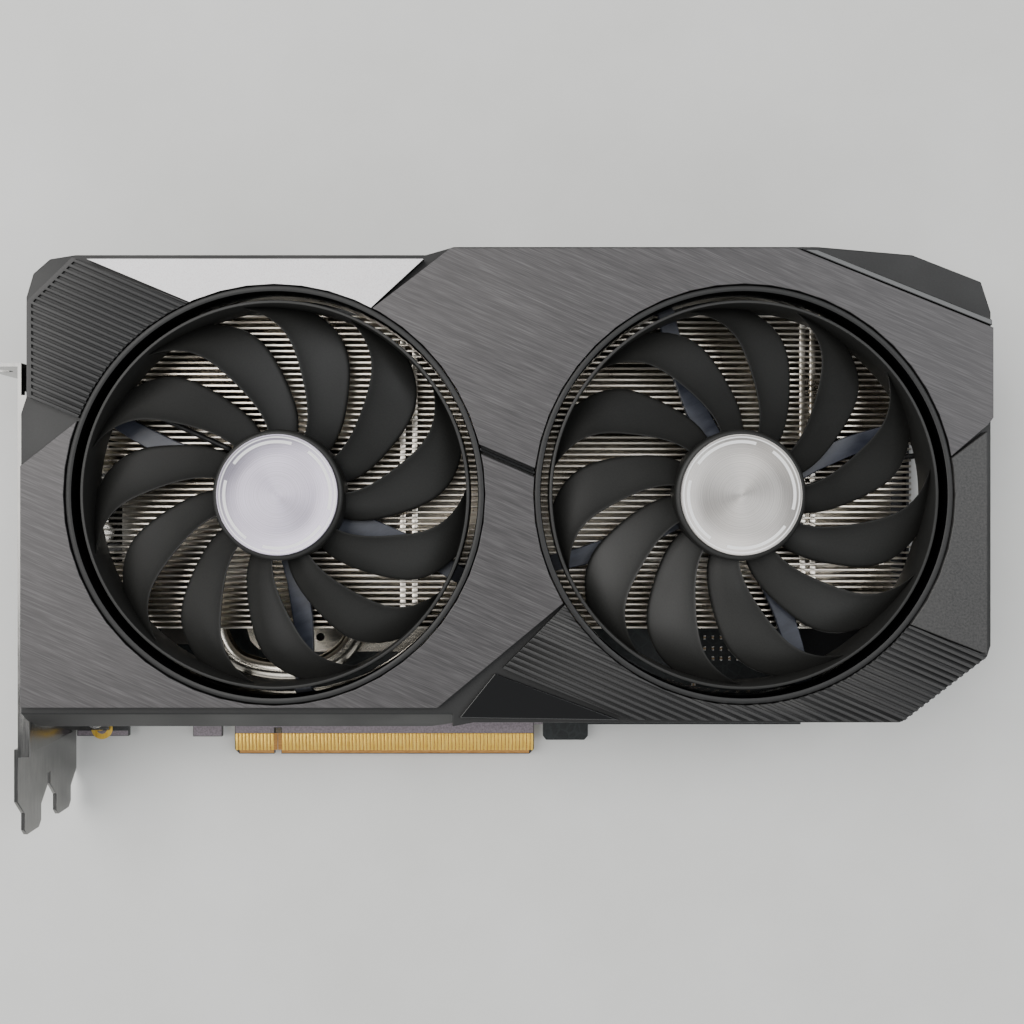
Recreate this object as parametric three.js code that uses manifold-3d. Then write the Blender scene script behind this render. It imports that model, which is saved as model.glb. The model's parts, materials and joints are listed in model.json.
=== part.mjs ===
// A dual-fan graphics card, two and a half slots thick, modelled in millimetres.
// Card frame: X runs from the bracket to the tail, Y towards the top edge, Z towards the fans.
// The card frame's origin lies midway between the fan axes, on the outer face of the backplate.

import * as THREE from 'three';
import * as BufferGeometryUtils from 'three/addons/utils/BufferGeometryUtils.js';
import Module from 'manifold-3d';

const wasm = await Module();
wasm.setup();

// Heights
const frontHeight = 49; // top of the front plates
const plateThickness = 2.3; // decorative front plates
const shellRoof = 2.2; // moulded roof of the shroud under the plates
const shellWall = 1.8; // side walls of the shroud
const shellFloor = 6; // lower edge of the side walls
const backplateThickness = 1;
const backplateFlange = 0.9; // width of the backplate's turned-up edge
const boardFace = 4.6; // component side of the circuit board
const boardThickness = 1.57;
const gap = 0.3; // clearance between touching pieces

// Fans
const openingRadius = 49.5;
const lipWidth = 1.5; // wall of the duct round each opening
const lipDrop = 0.4; // the duct's rim stands this far below the front plates
const rimSides = 48; // facets round each opening
const fanSpacing = 12.3; // between the two ducts
const tipClearance = 2; // between the rotor's ring and the duct
const rotorRing = 0.9;
const rotorDrop = 0.5; // top of the rotor's ring below the front plates
const rotorHeight = 12;
const hubRadius = 16.3;
const hubDrop = 4; // top of the hub below the front plates
const hubWall = 1.3;
const hubRounding = 1.2;
const labelMargin = 1.3; // bare rim of the hub round its label
const labelThickness = 0.5;
const bladeCount = 11;
const bladeThickness = 1;
const shaftRadius = 1.5;
const bushWall = 2.4;
const magnetWall = 1.4;
const airGap = 0.7; // between the magnet and the stator's shoes
const shoeThickness = 1.4;
const frameThickness = 2.2;
const frameClearance = 0.8; // between a fan frame and the rotor's ring
const finClearance = 0.5; // between the fins and the fan frames
const footRadius = 3.2; // round feet of the struts
const leadRadius = 0.8;

// Shroud outline, by the margin that it leaves round the fan openings
const bracketMargin = 13.25;
const tailMargin = 11.55;
const topMargin = 11.4;
const bottomMargin = 8.5;
const lowerEdge = 2.1; // how far the tail half of the bottom wall stands back

// Cooler
const finPitch = 1.48;
const finThickness = 0.4;
const finBaseThickness = 0.8;
const finEndMargin = 14.85; // from the shroud's ends to the fins
const finLowMargin = 23.8;
const finHighMargin = 14.1;
const pipeRadius = 3;
const packageSize = 37.5;
const packageHeight = 2.4;
const coldPlateSize = 50;
const coldPlateThickness = 2;
const frameSize = 86; // cooler mounting frame
const screwSpacing = 54; // square of spring screws round the processor

// Circuit board and its card edge
const boardOverhang = 2; // beyond the shroud at the bracket end
const boardLength = 203.9;
const boardTopMargin = 7.9;
const boardDrop = 6.05; // below the shroud's bottom wall
const boardToGpu = 91.9; // from the board's bracket end to the processor
const tongueDepth = 8.25;
const boardToTongue = 44.45;
const tongueLength = 84.3;
const keyWidth = 1.9;
const keyOffset = 12.15; // from the tongue's left end to the middle of the key

// Two-slot bracket
const bracketToBoard = 1.85; // from the bracket's outer face to the board's end
const bracketThickness = 0.9;
const slotPitch = 20.32;
const slotWidth = 18.42;
const bracketRise = 97.35; // from the board's lower edge to the outer face of the screw tab
const bracketTabReach = 11.43;
const footDrop = 22.85; // from the board's lower edge to the tip of the feet
const jogDrop = 1.95; // from the board's lower edge to the step above the feet
const footWidth = 10.19;
const boardToSlot = 4.11; // from the bracket's edge to the board's component side

// Colours of the finishes
const finish = {
  moulded: { color: 0x1c1c1d, roughness: 0.62, metalness: 0 },
  gloss: { color: 0x070708, roughness: 0.12, metalness: 0 },
  brushed: { color: 0x5a595c, roughness: 0.4, metalness: 0.7 },
  silver: { color: 0xdcd8da, roughness: 0.45, metalness: 0.6 },
  blade: { color: 0x26282a, roughness: 0.55, metalness: 0 },
  label: { color: 0xa9a6ac, roughness: 0.3, metalness: 0.9 },
  strut: { color: 0x3d4450, roughness: 0.4, metalness: 0 },
  steel: { color: 0xc9c8c6, roughness: 0.28, metalness: 1 },
  copper: { color: 0xb87442, roughness: 0.35, metalness: 1 },
  nickel: { color: 0xd2cbbf, roughness: 0.25, metalness: 1 },
  fin: { color: 0xc8c2b6, roughness: 0.35, metalness: 1 },
  board: { color: 0x17191b, roughness: 0.5, metalness: 0 },
  chip: { color: 0x141416, roughness: 0.6, metalness: 0 },
  rubber: { color: 0x121212, roughness: 0.8, metalness: 0 },
  magnet: { color: 0x4a4642, roughness: 0.7, metalness: 0.3 },
};

// Derived values: fans and shroud
const lipRadius = openingRadius + lipWidth;
const fanPitch = 2 * lipRadius + fanSpacing;
const leftFan = new THREE.Vector2(-fanPitch / 2, 0);
const rightFan = new THREE.Vector2(fanPitch / 2, 0);
const bodyLeft = leftFan.x - openingRadius - bracketMargin;
const bodyRight = rightFan.x + openingRadius + tailMargin;
const bodyTop = openingRadius + topMargin;
const bodyBottom = -(openingRadius + bottomMargin);
const shellTop = frontHeight - plateThickness - gap;
const faceLeft = bodyLeft + 0.75;
const faceRight = bodyRight - 0.3;
const faceTop = bodyTop - 0.7;
const faceBottom = bodyBottom + 5.95;
const trimTop = bodyTop - 3.4;
const lipHeight = frontHeight - lipDrop;
const rotorRadius = openingRadius - tipClearance;
const rotorLow = frontHeight - rotorDrop - rotorHeight;
const hubTop = frontHeight - hubDrop;
const frameLow = rotorLow - frameClearance - frameThickness;

// Derived values: board, bracket and cooler
const boardLeft = bodyLeft - boardOverhang;
const boardRight = boardLeft + boardLength;
const boardTop = bodyTop - boardTopMargin;
const boardBottom = bodyBottom - boardDrop;
const boardBack = boardFace - boardThickness;
const gpuX = boardLeft + boardToGpu;
const tongueLeft = boardLeft + boardToTongue;
const bracketFace = boardLeft - bracketToBoard;
const bracketTabY = boardBottom + bracketRise;
const bracketFoot = boardBottom - footDrop;
const jogY = boardBottom - jogDrop;
const bracketLow = boardFace - boardToSlot;
const bracketHigh = bracketLow + slotWidth + slotPitch;
const coldPlateLow = boardFace + packageHeight + gap;
const pipeZ = coldPlateLow + coldPlateThickness + gap + pipeRadius;
const finBase = pipeZ + pipeRadius + gap; // underside of the fin stack
const finTop = frameLow - finClearance;
const finLeft = bodyLeft + finEndMargin;
const finRight = bodyRight - finEndMargin;
const finLow = bodyBottom + finLowMargin;
const finHigh = bodyTop - finHighMargin;
const ribAngle = -Math.atan2(7.15, 16.6); // slant shared by groove, ribs and brushing

const card = new THREE.Group();

function add(name, solid, look, parent = card) {
  const mesh = new THREE.Mesh(toGeometry(solid), new THREE.MeshStandardMaterial(finish[look]));
  mesh.name = name;
  parent.add(mesh);
  return mesh;
}

// Leaves out the triangles that collapse where a turned profile meets its axis.
function fullTriangles(index) {
  const kept = [];
  for (let i = 0; i < index.length; i += 3) {
    const [a, b, c] = index.slice(i, i + 3);
    if (a !== b && b !== c && c !== a) kept.push(a, b, c);
  }
  return kept;
}

// A closed three.js geometry as a solid that can be cut and joined.
function toSolid(geometry) {
  const bare = geometry.index ? geometry.toNonIndexed() : geometry.clone();
  bare.deleteAttribute('normal');
  bare.deleteAttribute('uv');
  const merged = BufferGeometryUtils.mergeVertices(bare, 1e-4);
  const vertProperties = new Float32Array(merged.attributes.position.array);
  const triVerts = new Uint32Array(fullTriangles(merged.index.array));
  return new wasm.Manifold(new wasm.Mesh({ numProp: 3, vertProperties, triVerts }));
}

function toGeometry(solid) {
  const mesh = solid.getMesh();
  const geometry = new THREE.BufferGeometry();
  geometry.setAttribute('position', new THREE.BufferAttribute(mesh.vertProperties, 3));
  geometry.setIndex(new THREE.BufferAttribute(mesh.triVerts, 1));
  geometry.computeVertexNormals();
  return geometry;
}

function join(solids) {
  return solids.reduce((whole, next) => whole.add(next));
}

function cut(solid, tools) {
  return tools.reduce((whole, next) => whole.subtract(next), solid);
}

function points(list) {
  return list.map(([x, y]) => new THREE.Vector2(x, y));
}

// Moves every edge of a counter-clockwise outline outwards by a distance, or inwards if negative.
function offset(outline, distance) {
  return outline.map((corner, i) => {
    const before = outline.at(i - 1);
    const after = outline[(i + 1) % outline.length];
    const first = corner.clone().sub(before).normalize();
    const second = after.clone().sub(corner).normalize();
    const bisector = new THREE.Vector2(first.y + second.y, -first.x - second.x);
    const reach = 1 + first.dot(second);
    return corner.clone().addScaledVector(bisector, distance / reach);
  });
}

// An upright prism on an outline in the XY plane.
function prism(outline, low, high) {
  const shape = new THREE.Shape(outline);
  const geometry = new THREE.ExtrudeGeometry(shape, { depth: high - low, bevelEnabled: false });
  return toSolid(geometry.translate(0, 0, low));
}

// A prism along X on an outline given as (y, z) points.
function prismX(outline, left, right) {
  const shape = new THREE.Shape(outline);
  const geometry = new THREE.ExtrudeGeometry(shape, { depth: right - left, bevelEnabled: false });
  const turn = new THREE.Matrix4().makeBasis(
    new THREE.Vector3(0, 1, 0),
    new THREE.Vector3(0, 0, 1),
    new THREE.Vector3(1, 0, 0),
  );
  return toSolid(geometry.applyMatrix4(turn).translate(left, 0, 0));
}

function block(x0, x1, y0, y1, z0, z1) {
  const geometry = new THREE.BoxGeometry(x1 - x0, y1 - y0, z1 - z0);
  return toSolid(geometry.translate((x0 + x1) / 2, (y0 + y1) / 2, (z0 + z1) / 2));
}

function disc(centre, radius, low, high, sides = 32) {
  const geometry = new THREE.CylinderGeometry(radius, radius, high - low, sides);
  geometry.rotateX(Math.PI / 2);
  return toSolid(geometry.translate(centre.x, centre.y, (low + high) / 2));
}

function ring(centre, outer, inner, low, high, sides = 32) {
  return disc(centre, outer, low, high, sides).subtract(disc(centre, inner, low - 1, high + 1, sides));
}

function roundedBox(width, height, radius) {
  const corners = [];
  for (let i = 0; i < 4; i += 1) {
    const sx = i === 0 || i === 3 ? 1 : -1;
    const sy = i < 2 ? 1 : -1;
    for (let step = 0; step <= 3; step += 1) {
      const angle = (i + step / 3) * (Math.PI / 2);
      const x = sx * (width / 2 - radius) + radius * Math.cos(angle);
      const y = sy * (height / 2 - radius) + radius * Math.sin(angle);
      corners.push(new THREE.Vector2(x, y));
    }
  }
  return corners;
}

function shifted(outline, x, y) {
  return outline.map((corner) => new THREE.Vector2(corner.x + x, corner.y + y));
}

// A round bar along a smooth curve through the given points.
function tube(route, radius, steps, sides) {
  const places = route.map((p) => new THREE.Vector3(...p));
  const curve = new THREE.CatmullRomCurve3(places, false, 'centripetal');
  const section = new THREE.Shape();
  for (let i = 0; i < sides; i += 1) {
    const angle = (i / sides) * Math.PI * 2;
    const corner = [radius * Math.cos(angle), radius * Math.sin(angle)];
    if (i === 0) section.moveTo(...corner);
    else section.lineTo(...corner);
  }
  section.closePath();
  return toSolid(new THREE.ExtrudeGeometry(section, { steps, extrudePath: curve, bevelEnabled: false }));
}

// Shroud and its front plates

const shellOutline = points([
  [bodyLeft, bodyBottom + 2],
  [bodyLeft + 2, bodyBottom],
  [-19.5, bodyBottom],
  [-9, bodyBottom + lowerEdge],
  [bodyRight - 22.3, bodyBottom + lowerEdge],
  [bodyRight - 0.9, bodyBottom + 18.2],
  [bodyRight, bodyBottom + 21],
  [bodyRight, bodyTop - 16.1],
  [bodyRight - 2.4, bodyTop - 8.6],
  [bodyRight - 19.3, bodyTop - 2],
  [bodyRight - 42.4, bodyTop],
  [-13.6, bodyTop],
  [-20.5, bodyTop - 2],
  [bodyLeft + 13.3, bodyTop - 2],
  [bodyLeft + 7.1, bodyTop - 3],
  [bodyLeft + 3, bodyTop - 6.6],
  [bodyLeft + 1.3, bodyTop - 12.4],
  [bodyLeft + 1.3, 24],
  [bodyLeft, 20],
]);

const bevelDrop = 9; // height of the bevel along the bracket half of the bottom edge

// Wedge that cuts that bevel through the shell and the plate on it, moved into the body by a wall.
function bottomBevel(wall = 0) {
  const run = faceBottom - bodyBottom;
  const slant = Math.hypot(run, bevelDrop);
  const inward = (wall * bevelDrop) / slant;
  const down = (wall * run) / slant;
  const low = frontHeight - bevelDrop - down;
  const wedge = points([
    [bodyBottom - 5, low],
    [bodyBottom + inward, low],
    [faceBottom + inward + (run * (1 + down)) / bevelDrop, frontHeight + 1],
    [bodyBottom - 5, frontHeight + 1],
  ]);
  return prismX(wedge, bodyLeft - 5, -14 + wall);
}

function sideVents() {
  const vents = [];
  const slotLength = 15;
  const slotStep = 19;
  const low = shellFloor + 6;
  const high = frameLow - 4.5;
  for (let x = -fanPitch / 2 - 1.5 * slotStep; x < fanPitch / 2 + 2 * slotStep; x += slotStep) {
    vents.push(block(x - slotLength / 2, x + slotLength / 2, bodyTop - 6, bodyTop + 2, low, high));
    vents.push(block(x - slotLength / 2, x + slotLength / 2, bodyBottom - 2, bodyBottom + 6, low, high));
  }
  for (let y = -slotStep; y <= slotStep; y += slotStep) {
    vents.push(block(bodyRight - 4, bodyRight + 2, y - slotLength / 2, y + slotLength / 2, low, high));
  }
  return vents;
}

const powerX = boardRight - 24;
const powerWidth = 18.6;
const powerHeight = 9.6;

function shroudBody() {
  const inner = offset(shellOutline, -shellWall);
  const hollow = prism(inner, shellFloor - 1, shellTop - shellRoof).subtract(bottomBevel(shellWall));
  const shell = prism(shellOutline, shellFloor, shellTop).subtract(bottomBevel()).subtract(hollow);
  const ducts = [leftFan, rightFan].map((centre) => (
    disc(centre, lipRadius + gap, shellTop - shellRoof - 1, shellTop + 1, rimSides)
  ));
  const bracketSide = block(
    bodyLeft - 1,
    bodyLeft + 4,
    bodyBottom + 8,
    bodyTop - 14,
    shellFloor - 1,
    frameLow + 2.5,
  );
  const plugGap = block(
    powerX - powerWidth / 2 - 3,
    powerX + powerWidth / 2 + 3,
    bodyTop - 4,
    bodyTop + 1,
    shellFloor - 1,
    boardFace + powerHeight + 3,
  );
  return cut(shell, [...ducts, ...sideVents(), bracketSide, plugGap]);
}

// A front plate on a polygon: pulled in from its neighbours, and clear of both fan lips.
function frontPlate(corners, low = shellTop + gap, high = frontHeight) {
  const plate = prism(offset(points(corners), -gap / 2), low, high);
  const lips = [leftFan, rightFan].map((centre) => (
    disc(centre, lipRadius + gap, low - 1, high + 1, rimSides)
  ));
  return cut(plate, lips);
}

// A place just outside a fan opening, under the rim of its duct.
function rimPoint(centre, degrees, beyond) {
  const angle = THREE.MathUtils.degToRad(degrees);
  const radius = openingRadius + beyond;
  return [centre.x + radius * Math.cos(angle), centre.y + radius * Math.sin(angle)];
}

// Corners that more than one plate shares.
const rimUpperRight = rimPoint(rightFan, 9.909, 1.055);
const rimLowerRight = rimPoint(rightFan, -38.308, 1.476);
const rimApex = rimPoint(rightFan, -148.939, 1.281);
const rimUpperLeft = rimPoint(leftFan, 62.44, 1.937);
const rimTopLeft = rimPoint(leftFan, 113.962, 1.714);
const rimMidLeft = rimPoint(leftFan, 158.761, 1.569);
const leftHub = [leftFan.x, 0];
const rightHub = [rightFan.x, 0];
const grooveMiddle = new THREE.Vector2(-0.15, 8.1);
const grooveWidth = 1.6;

function groovePoint(along, across) {
  const dir = new THREE.Vector2(Math.cos(ribAngle), Math.sin(ribAngle));
  const x = grooveMiddle.x + dir.x * along - dir.y * across;
  const y = grooveMiddle.y + dir.y * along + dir.x * across;
  return [x, y];
}

const grooveReach = fanSpacing / 2 + 4.05; // half the groove's length, ending inside both fan lips

const upperFace = [
  groovePoint(-grooveReach, grooveWidth / 2),
  groovePoint(grooveReach, grooveWidth / 2),
  rightHub,
  rimUpperRight,
  [faceRight - 1.35, 16.85],
  [faceRight, 18.7],
  [faceRight, faceTop - 19.4],
  [faceRight - 48.1, faceTop],
  [-14.35, faceTop],
  rimUpperLeft,
  leftHub,
];

const seamFoot = [-17.45, faceBottom]; // where the lower plate's seam meets the bottom edge

// A place beside the seam from its foot to the right fan's rim, on the ribbed side of it.
function seamPoint(along, across) {
  const slant = Math.atan2(rimApex[1] - seamFoot[1], rimApex[0] - seamFoot[0]);
  const x = seamFoot[0] + along * Math.cos(slant) + across * Math.sin(slant);
  const y = seamFoot[1] + along * Math.sin(slant) - across * Math.cos(slant);
  return [x, y];
}

const lowerFace = [
  [faceLeft, faceBottom],
  seamFoot,
  rimApex,
  rightHub,
  groovePoint(grooveReach, -grooveWidth / 2),
  groovePoint(-grooveReach, -grooveWidth / 2),
  leftHub,
  rimMidLeft,
  [faceLeft, 7.1],
];

const silverTrim = [
  [faceLeft + 15.6, trimTop],
  rimTopLeft,
  leftHub,
  rimUpperLeft,
  [-20.45, trimTop],
];

const ribbedCorner = [
  [faceLeft + 1.6, 23.8],
  rimMidLeft,
  leftHub,
  rimTopLeft,
  [faceLeft + 12.8, trimTop + 0.4],
  [faceLeft + 1.6, trimTop - 10.4],
];

const ribbedLower = [
  seamPoint(18.15, 2.41),
  [29.25, bodyBottom + 3.1],
  [bodyRight - 22.45, bodyBottom + 2.6],
  [bodyRight - 2.05, bodyBottom + 18.3],
  [bodyRight - 2.25, bodyBottom + 19],
  rimLowerRight,
  rightHub,
  [rimApex[0], rimApex[1] - 0.3],
];

const tailSide = [
  rimLowerRight,
  [bodyRight - 1.75, bodyBottom + 18.8],
  [bodyRight - 1.75, 15.8],
  rimUpperRight,
  rightHub,
];

const glossStrip = [
  [faceRight - 48.1, faceTop - 0.1],
  [faceRight - 0.3, faceTop - 19.3],
  [faceRight - 0.3, faceTop - 17.5],
  [faceRight - 42.9, faceTop - 0.4],
];

const glossTriangle = [
  seamPoint(2.1, 5.06),
  [28, bodyBottom + 2.8],
  seamPoint(16.18, 2.2),
];

// Parallel ribs run across a panel at the groove's angle.
const ribPitch = 1.5;
const ribDepth = 0.6;
const ribFoot = 1; // width of a rib at its foot
const ribCrest = 0.7;
const ribReach = 200; // longer than any rib, before it is cut to the panel

function ribbedPanel(corners) {
  const root = frontHeight - 2 * ribDepth; // the ribs start inside the base
  const across = corners.map(([x, y]) => y * Math.cos(ribAngle) - x * Math.sin(ribAngle));
  const first = Math.ceil(Math.min(...across) / ribPitch) * ribPitch;
  const bars = [];
  for (let middle = first; middle < Math.max(...across); middle += ribPitch) {
    const section = points([
      [middle - ribFoot / 2, root],
      [middle + ribFoot / 2, root],
      [middle + ribCrest / 2, frontHeight],
      [middle - ribCrest / 2, frontHeight],
    ]);
    const bar = prismX(section, -ribReach, ribReach);
    bars.push(bar.rotate([0, 0, THREE.MathUtils.radToDeg(ribAngle)]));
  }
  const base = frontPlate(corners, shellTop + gap, frontHeight - ribDepth);
  const field = frontPlate(corners, root, frontHeight + 1);
  return base.add(join(bars).intersect(field));
}

// Smooth raised border along the left edge and the chamfer of the corner panel.
function cornerBorder() {
  const width = 1.3;
  const left = faceLeft + 1.6;
  const outline = points([
    [left - 1, 22],
    [left + width, 22],
    [left + width, trimTop - 10.9],
    [left + 12.9, trimTop + 0.5],
    [left + 11.2, trimTop + 0.5],
    [left - 1, trimTop - 10.4],
  ]);
  const band = prism(outline, shellTop, frontHeight + 1);
  return frontPlate(ribbedCorner).intersect(band);
}

add('shroud_body', shroudBody(), 'moulded');
for (const [side, centre] of [['left', leftFan], ['right', rightFan]]) {
  const duct = ring(centre, lipRadius, openingRadius, rotorLow, lipHeight, rimSides);
  add(`${side}_fan_duct`, duct, 'moulded');
}
add('upper_brushed_plate', frontPlate(upperFace), 'brushed');
add('lower_brushed_plate', frontPlate(lowerFace).subtract(bottomBevel()), 'brushed');
add('silver_trim_plate', frontPlate(silverTrim), 'silver');
add('ribbed_corner_panel', ribbedPanel(ribbedCorner).add(cornerBorder()), 'moulded');
add('ribbed_lower_panel', ribbedPanel(ribbedLower), 'moulded');
add('tail_side_panel', frontPlate(tailSide), 'moulded');
add('gloss_edge_strip', frontPlate(glossStrip), 'gloss');
add('gloss_corner_triangle', frontPlate(glossTriangle, shellTop + gap, frontHeight - 1), 'gloss');

function grooveInlay() {
  const half = grooveWidth / 2 - gap;
  const corners = [
    groovePoint(-grooveReach, -half),
    groovePoint(grooveReach, -half),
    groovePoint(grooveReach, half),
    groovePoint(-grooveReach, half),
  ];
  return frontPlate(corners, shellTop + gap, frontHeight - 0.6);
}

add('groove_inlay', grooveInlay(), 'gloss');

// Fans

// A blade is a thin sheet between the hub and the ring. At each radius it runs clockwise
// and down from its leading edge, and the leading edge sweeps forward towards the tip.
const bladeSweep = [[16, 0], [23, 5], [30.8, 11.7], [36.7, 17.1], [42.7, 23.5], [47, 34]];

function sweepAt(radius) {
  let i = 1;
  while (i < bladeSweep.length - 1 && radius > bladeSweep[i][0]) i += 1;
  const [r0, a0] = bladeSweep[i - 1];
  const [r1, a1] = bladeSweep[i];
  return a0 + ((a1 - a0) * (radius - r0)) / (r1 - r0);
}

function bladePoint(radius, chord, lift) {
  const share = (radius - bladeSweep[0][0]) / (bladeSweep.at(-1)[0] - bladeSweep[0][0]);
  const width = 23.5 - 3 * share; // degrees of arc from the leading to the trailing edge
  const angle = THREE.MathUtils.degToRad(sweepAt(radius) - width * chord);
  const leading = hubTop - 1.9 + 3.9 * share;
  const fall = 5.4 + 2.6 * share;
  const z = leading - fall * chord ** 0.75 + lift;
  return new THREE.Vector3(radius * Math.cos(angle), radius * Math.sin(angle), z);
}

function blade(turn) {
  const radii = [hubRadius - 0.7, 26, 36.7, 42.7, rotorRadius - rotorRing / 2];
  const chords = [0, 0.4, 1];
  const loops = radii.map((radius) => {
    const top = chords.map((chord) => bladePoint(radius, chord, 0));
    const bottom = chords.map((chord) => bladePoint(radius, chord, -bladeThickness)).reverse();
    return [...top, ...bottom];
  });
  const count = loops[0].length;
  const position = loops.flat().flatMap((p) => [p.x, p.y, p.z]);
  const index = [];
  for (let i = 0; i + 1 < loops.length; i += 1) {
    for (let k = 0; k < count; k += 1) {
      const a = i * count + k;
      const b = i * count + ((k + 1) % count);
      index.push(a, b, a + count, b, b + count, a + count);
    }
  }
  const last = (loops.length - 1) * count;
  for (let k = 0; k < chords.length - 1; k += 1) {
    const near = count - 1 - k;
    index.push(k, near, k + 1, k + 1, near, near - 1);
    index.push(last + k, last + k + 1, last + near, last + k + 1, last + near - 1, last + near);
  }
  const geometry = new THREE.BufferGeometry();
  geometry.setAttribute('position', new THREE.BufferAttribute(new Float32Array(position), 3));
  geometry.setIndex(index);
  return toSolid(geometry.rotateZ(turn));
}

function lathe(profile, sides = 32) {
  const geometry = new THREE.LatheGeometry(points(profile), sides);
  return toSolid(geometry.rotateX(Math.PI / 2));
}

const origin = new THREE.Vector2(0, 0);
const hubProfile = [
  [0, hubTop - hubWall],
  [hubRadius - hubWall, hubTop - hubWall],
  [hubRadius - hubWall, rotorLow],
  [hubRadius, rotorLow],
  [hubRadius, hubTop - hubRounding],
  [hubRadius - 0.5, hubTop - 0.3],
  [hubRadius - hubRounding, hubTop],
  [0, hubTop],
];

function rotor(firstBlade) {
  const hub = lathe(hubProfile, 33);
  const tips = ring(origin, rotorRadius, rotorRadius - rotorRing, rotorLow, rotorLow + rotorHeight, 44);
  const blades = [];
  for (let i = 0; i < bladeCount; i += 1) {
    blades.push(blade(THREE.MathUtils.degToRad(firstBlade) + (i * 2 * Math.PI) / bladeCount));
  }
  return join([hub, tips, ...blades]);
}

// Four poles with curved shoes round a neck.
function stator(low, high) {
  const poles = 4;
  const shoeReach = 36; // degrees to each side of its arm
  const bore = shaftRadius + gap + bushWall + gap;
  const shoe = hubRadius - hubWall - gap - magnetWall - airGap;
  const core = disc(origin, bore + 1.6, low, high, 16);
  const parts = [core];
  for (let i = 0; i < poles; i += 1) {
    const arm = block(0, shoe - 0.8, -1.8, 1.8, low, high);
    const outline = [];
    for (let step = -3; step <= 3; step += 1) {
      const angle = THREE.MathUtils.degToRad((step * shoeReach) / 3);
      outline.push(new THREE.Vector2(shoe * Math.cos(angle), shoe * Math.sin(angle)));
    }
    for (let step = 3; step >= -3; step -= 1) {
      const angle = THREE.MathUtils.degToRad((step * shoeReach) / 3);
      const inside = shoe - shoeThickness;
      outline.push(new THREE.Vector2(inside * Math.cos(angle), inside * Math.sin(angle)));
    }
    const pole = arm.add(prism(outline, low, high));
    parts.push(pole.rotate([0, 0, (i * 360) / poles]));
  }
  return join(parts).subtract(disc(origin, bore, low - 1, high + 1, 16));
}

// Motor plate carried on struts, whose feet sit under the rim of the duct.
function fanFrame(strutAngles) {
  const top = frameLow + frameThickness;
  const footPlace = openingRadius + 2.5;
  const parts = [disc(origin, hubRadius - 0.5, frameLow, top, 32)];
  for (const degrees of strutAngles) {
    const bend = new THREE.QuadraticBezierCurve(
      new THREE.Vector2(hubRadius - 3, 0),
      new THREE.Vector2(footPlace * 0.6, 3.5),
      new THREE.Vector2(footPlace, 0),
    );
    const spine = bend.getPoints(4);
    const edge = (side) => spine.map((p, i) => new THREE.Vector2(p.x, p.y + side * (2.9 - i * 0.2)));
    const strut = prism([...edge(-1), ...edge(1).reverse()], frameLow, top);
    const foot = disc(new THREE.Vector2(footPlace, 0), footRadius, frameLow, top, 12);
    parts.push(strut.add(foot).rotate([0, 0, degrees]));
  }
  const bore = shaftRadius + gap + bushWall + gap;
  return join(parts).subtract(disc(origin, bore, frameLow - 1, top + 1, 16));
}

function fanLead(route) {
  return tube(route, leadRadius, 26, 8);
}

function addFan(side, centre, firstBlade, strutAngles) {
  const fan = new THREE.Group();
  fan.position.set(centre.x, centre.y, 0);
  card.add(fan);
  const magnetOuter = hubRadius - hubWall - gap;
  const coilLow = frameLow + frameThickness + gap;
  const coilHigh = hubTop - hubWall - 1;
  const bushBore = shaftRadius + gap;
  const labelLow = hubTop + gap;
  const label = disc(origin, hubRadius - labelMargin, labelLow, labelLow + labelThickness, 48);
  const magnet = ring(origin, magnetOuter, magnetOuter - magnetWall, rotorLow + 0.6, coilHigh, 24);
  const shaft = disc(origin, shaftRadius, frameLow + 0.8, hubTop - hubWall - gap, 16);
  const bush = ring(origin, bushBore + bushWall, bushBore, frameLow + 0.3, coilHigh, 16);
  add(`${side}_fan_rotor`, rotor(firstBlade), 'blade', fan);
  add(`${side}_hub_label`, label, 'label', fan);
  add(`${side}_rotor_magnet`, magnet, 'magnet', fan);
  add(`${side}_fan_shaft`, shaft, 'steel', fan);
  add(`${side}_fan_bush`, bush, 'copper', fan);
  add(`${side}_fan_stator`, stator(coilLow, coilHigh), 'copper', fan);
  add(`${side}_fan_frame`, fanFrame(strutAngles), 'strut', fan);
}

const leftFirstBlade = 2;
const rightFirstBlade = 8;
const leftStruts = [155, 275, 335];
const rightStruts = [20, 110, 200, 290];
addFan('left', leftFan, leftFirstBlade, leftStruts);
addFan('right', rightFan, rightFirstBlade, rightStruts);

// A place along a strut from the fan's axis, and to one side of the strut's middle line.
function besideStrut(centre, degrees, along, across, z) {
  const place = new THREE.Vector2(along, across);
  place.rotateAround(origin, THREE.MathUtils.degToRad(degrees));
  return [centre.x + place.x, centre.y + place.y, z];
}

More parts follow.
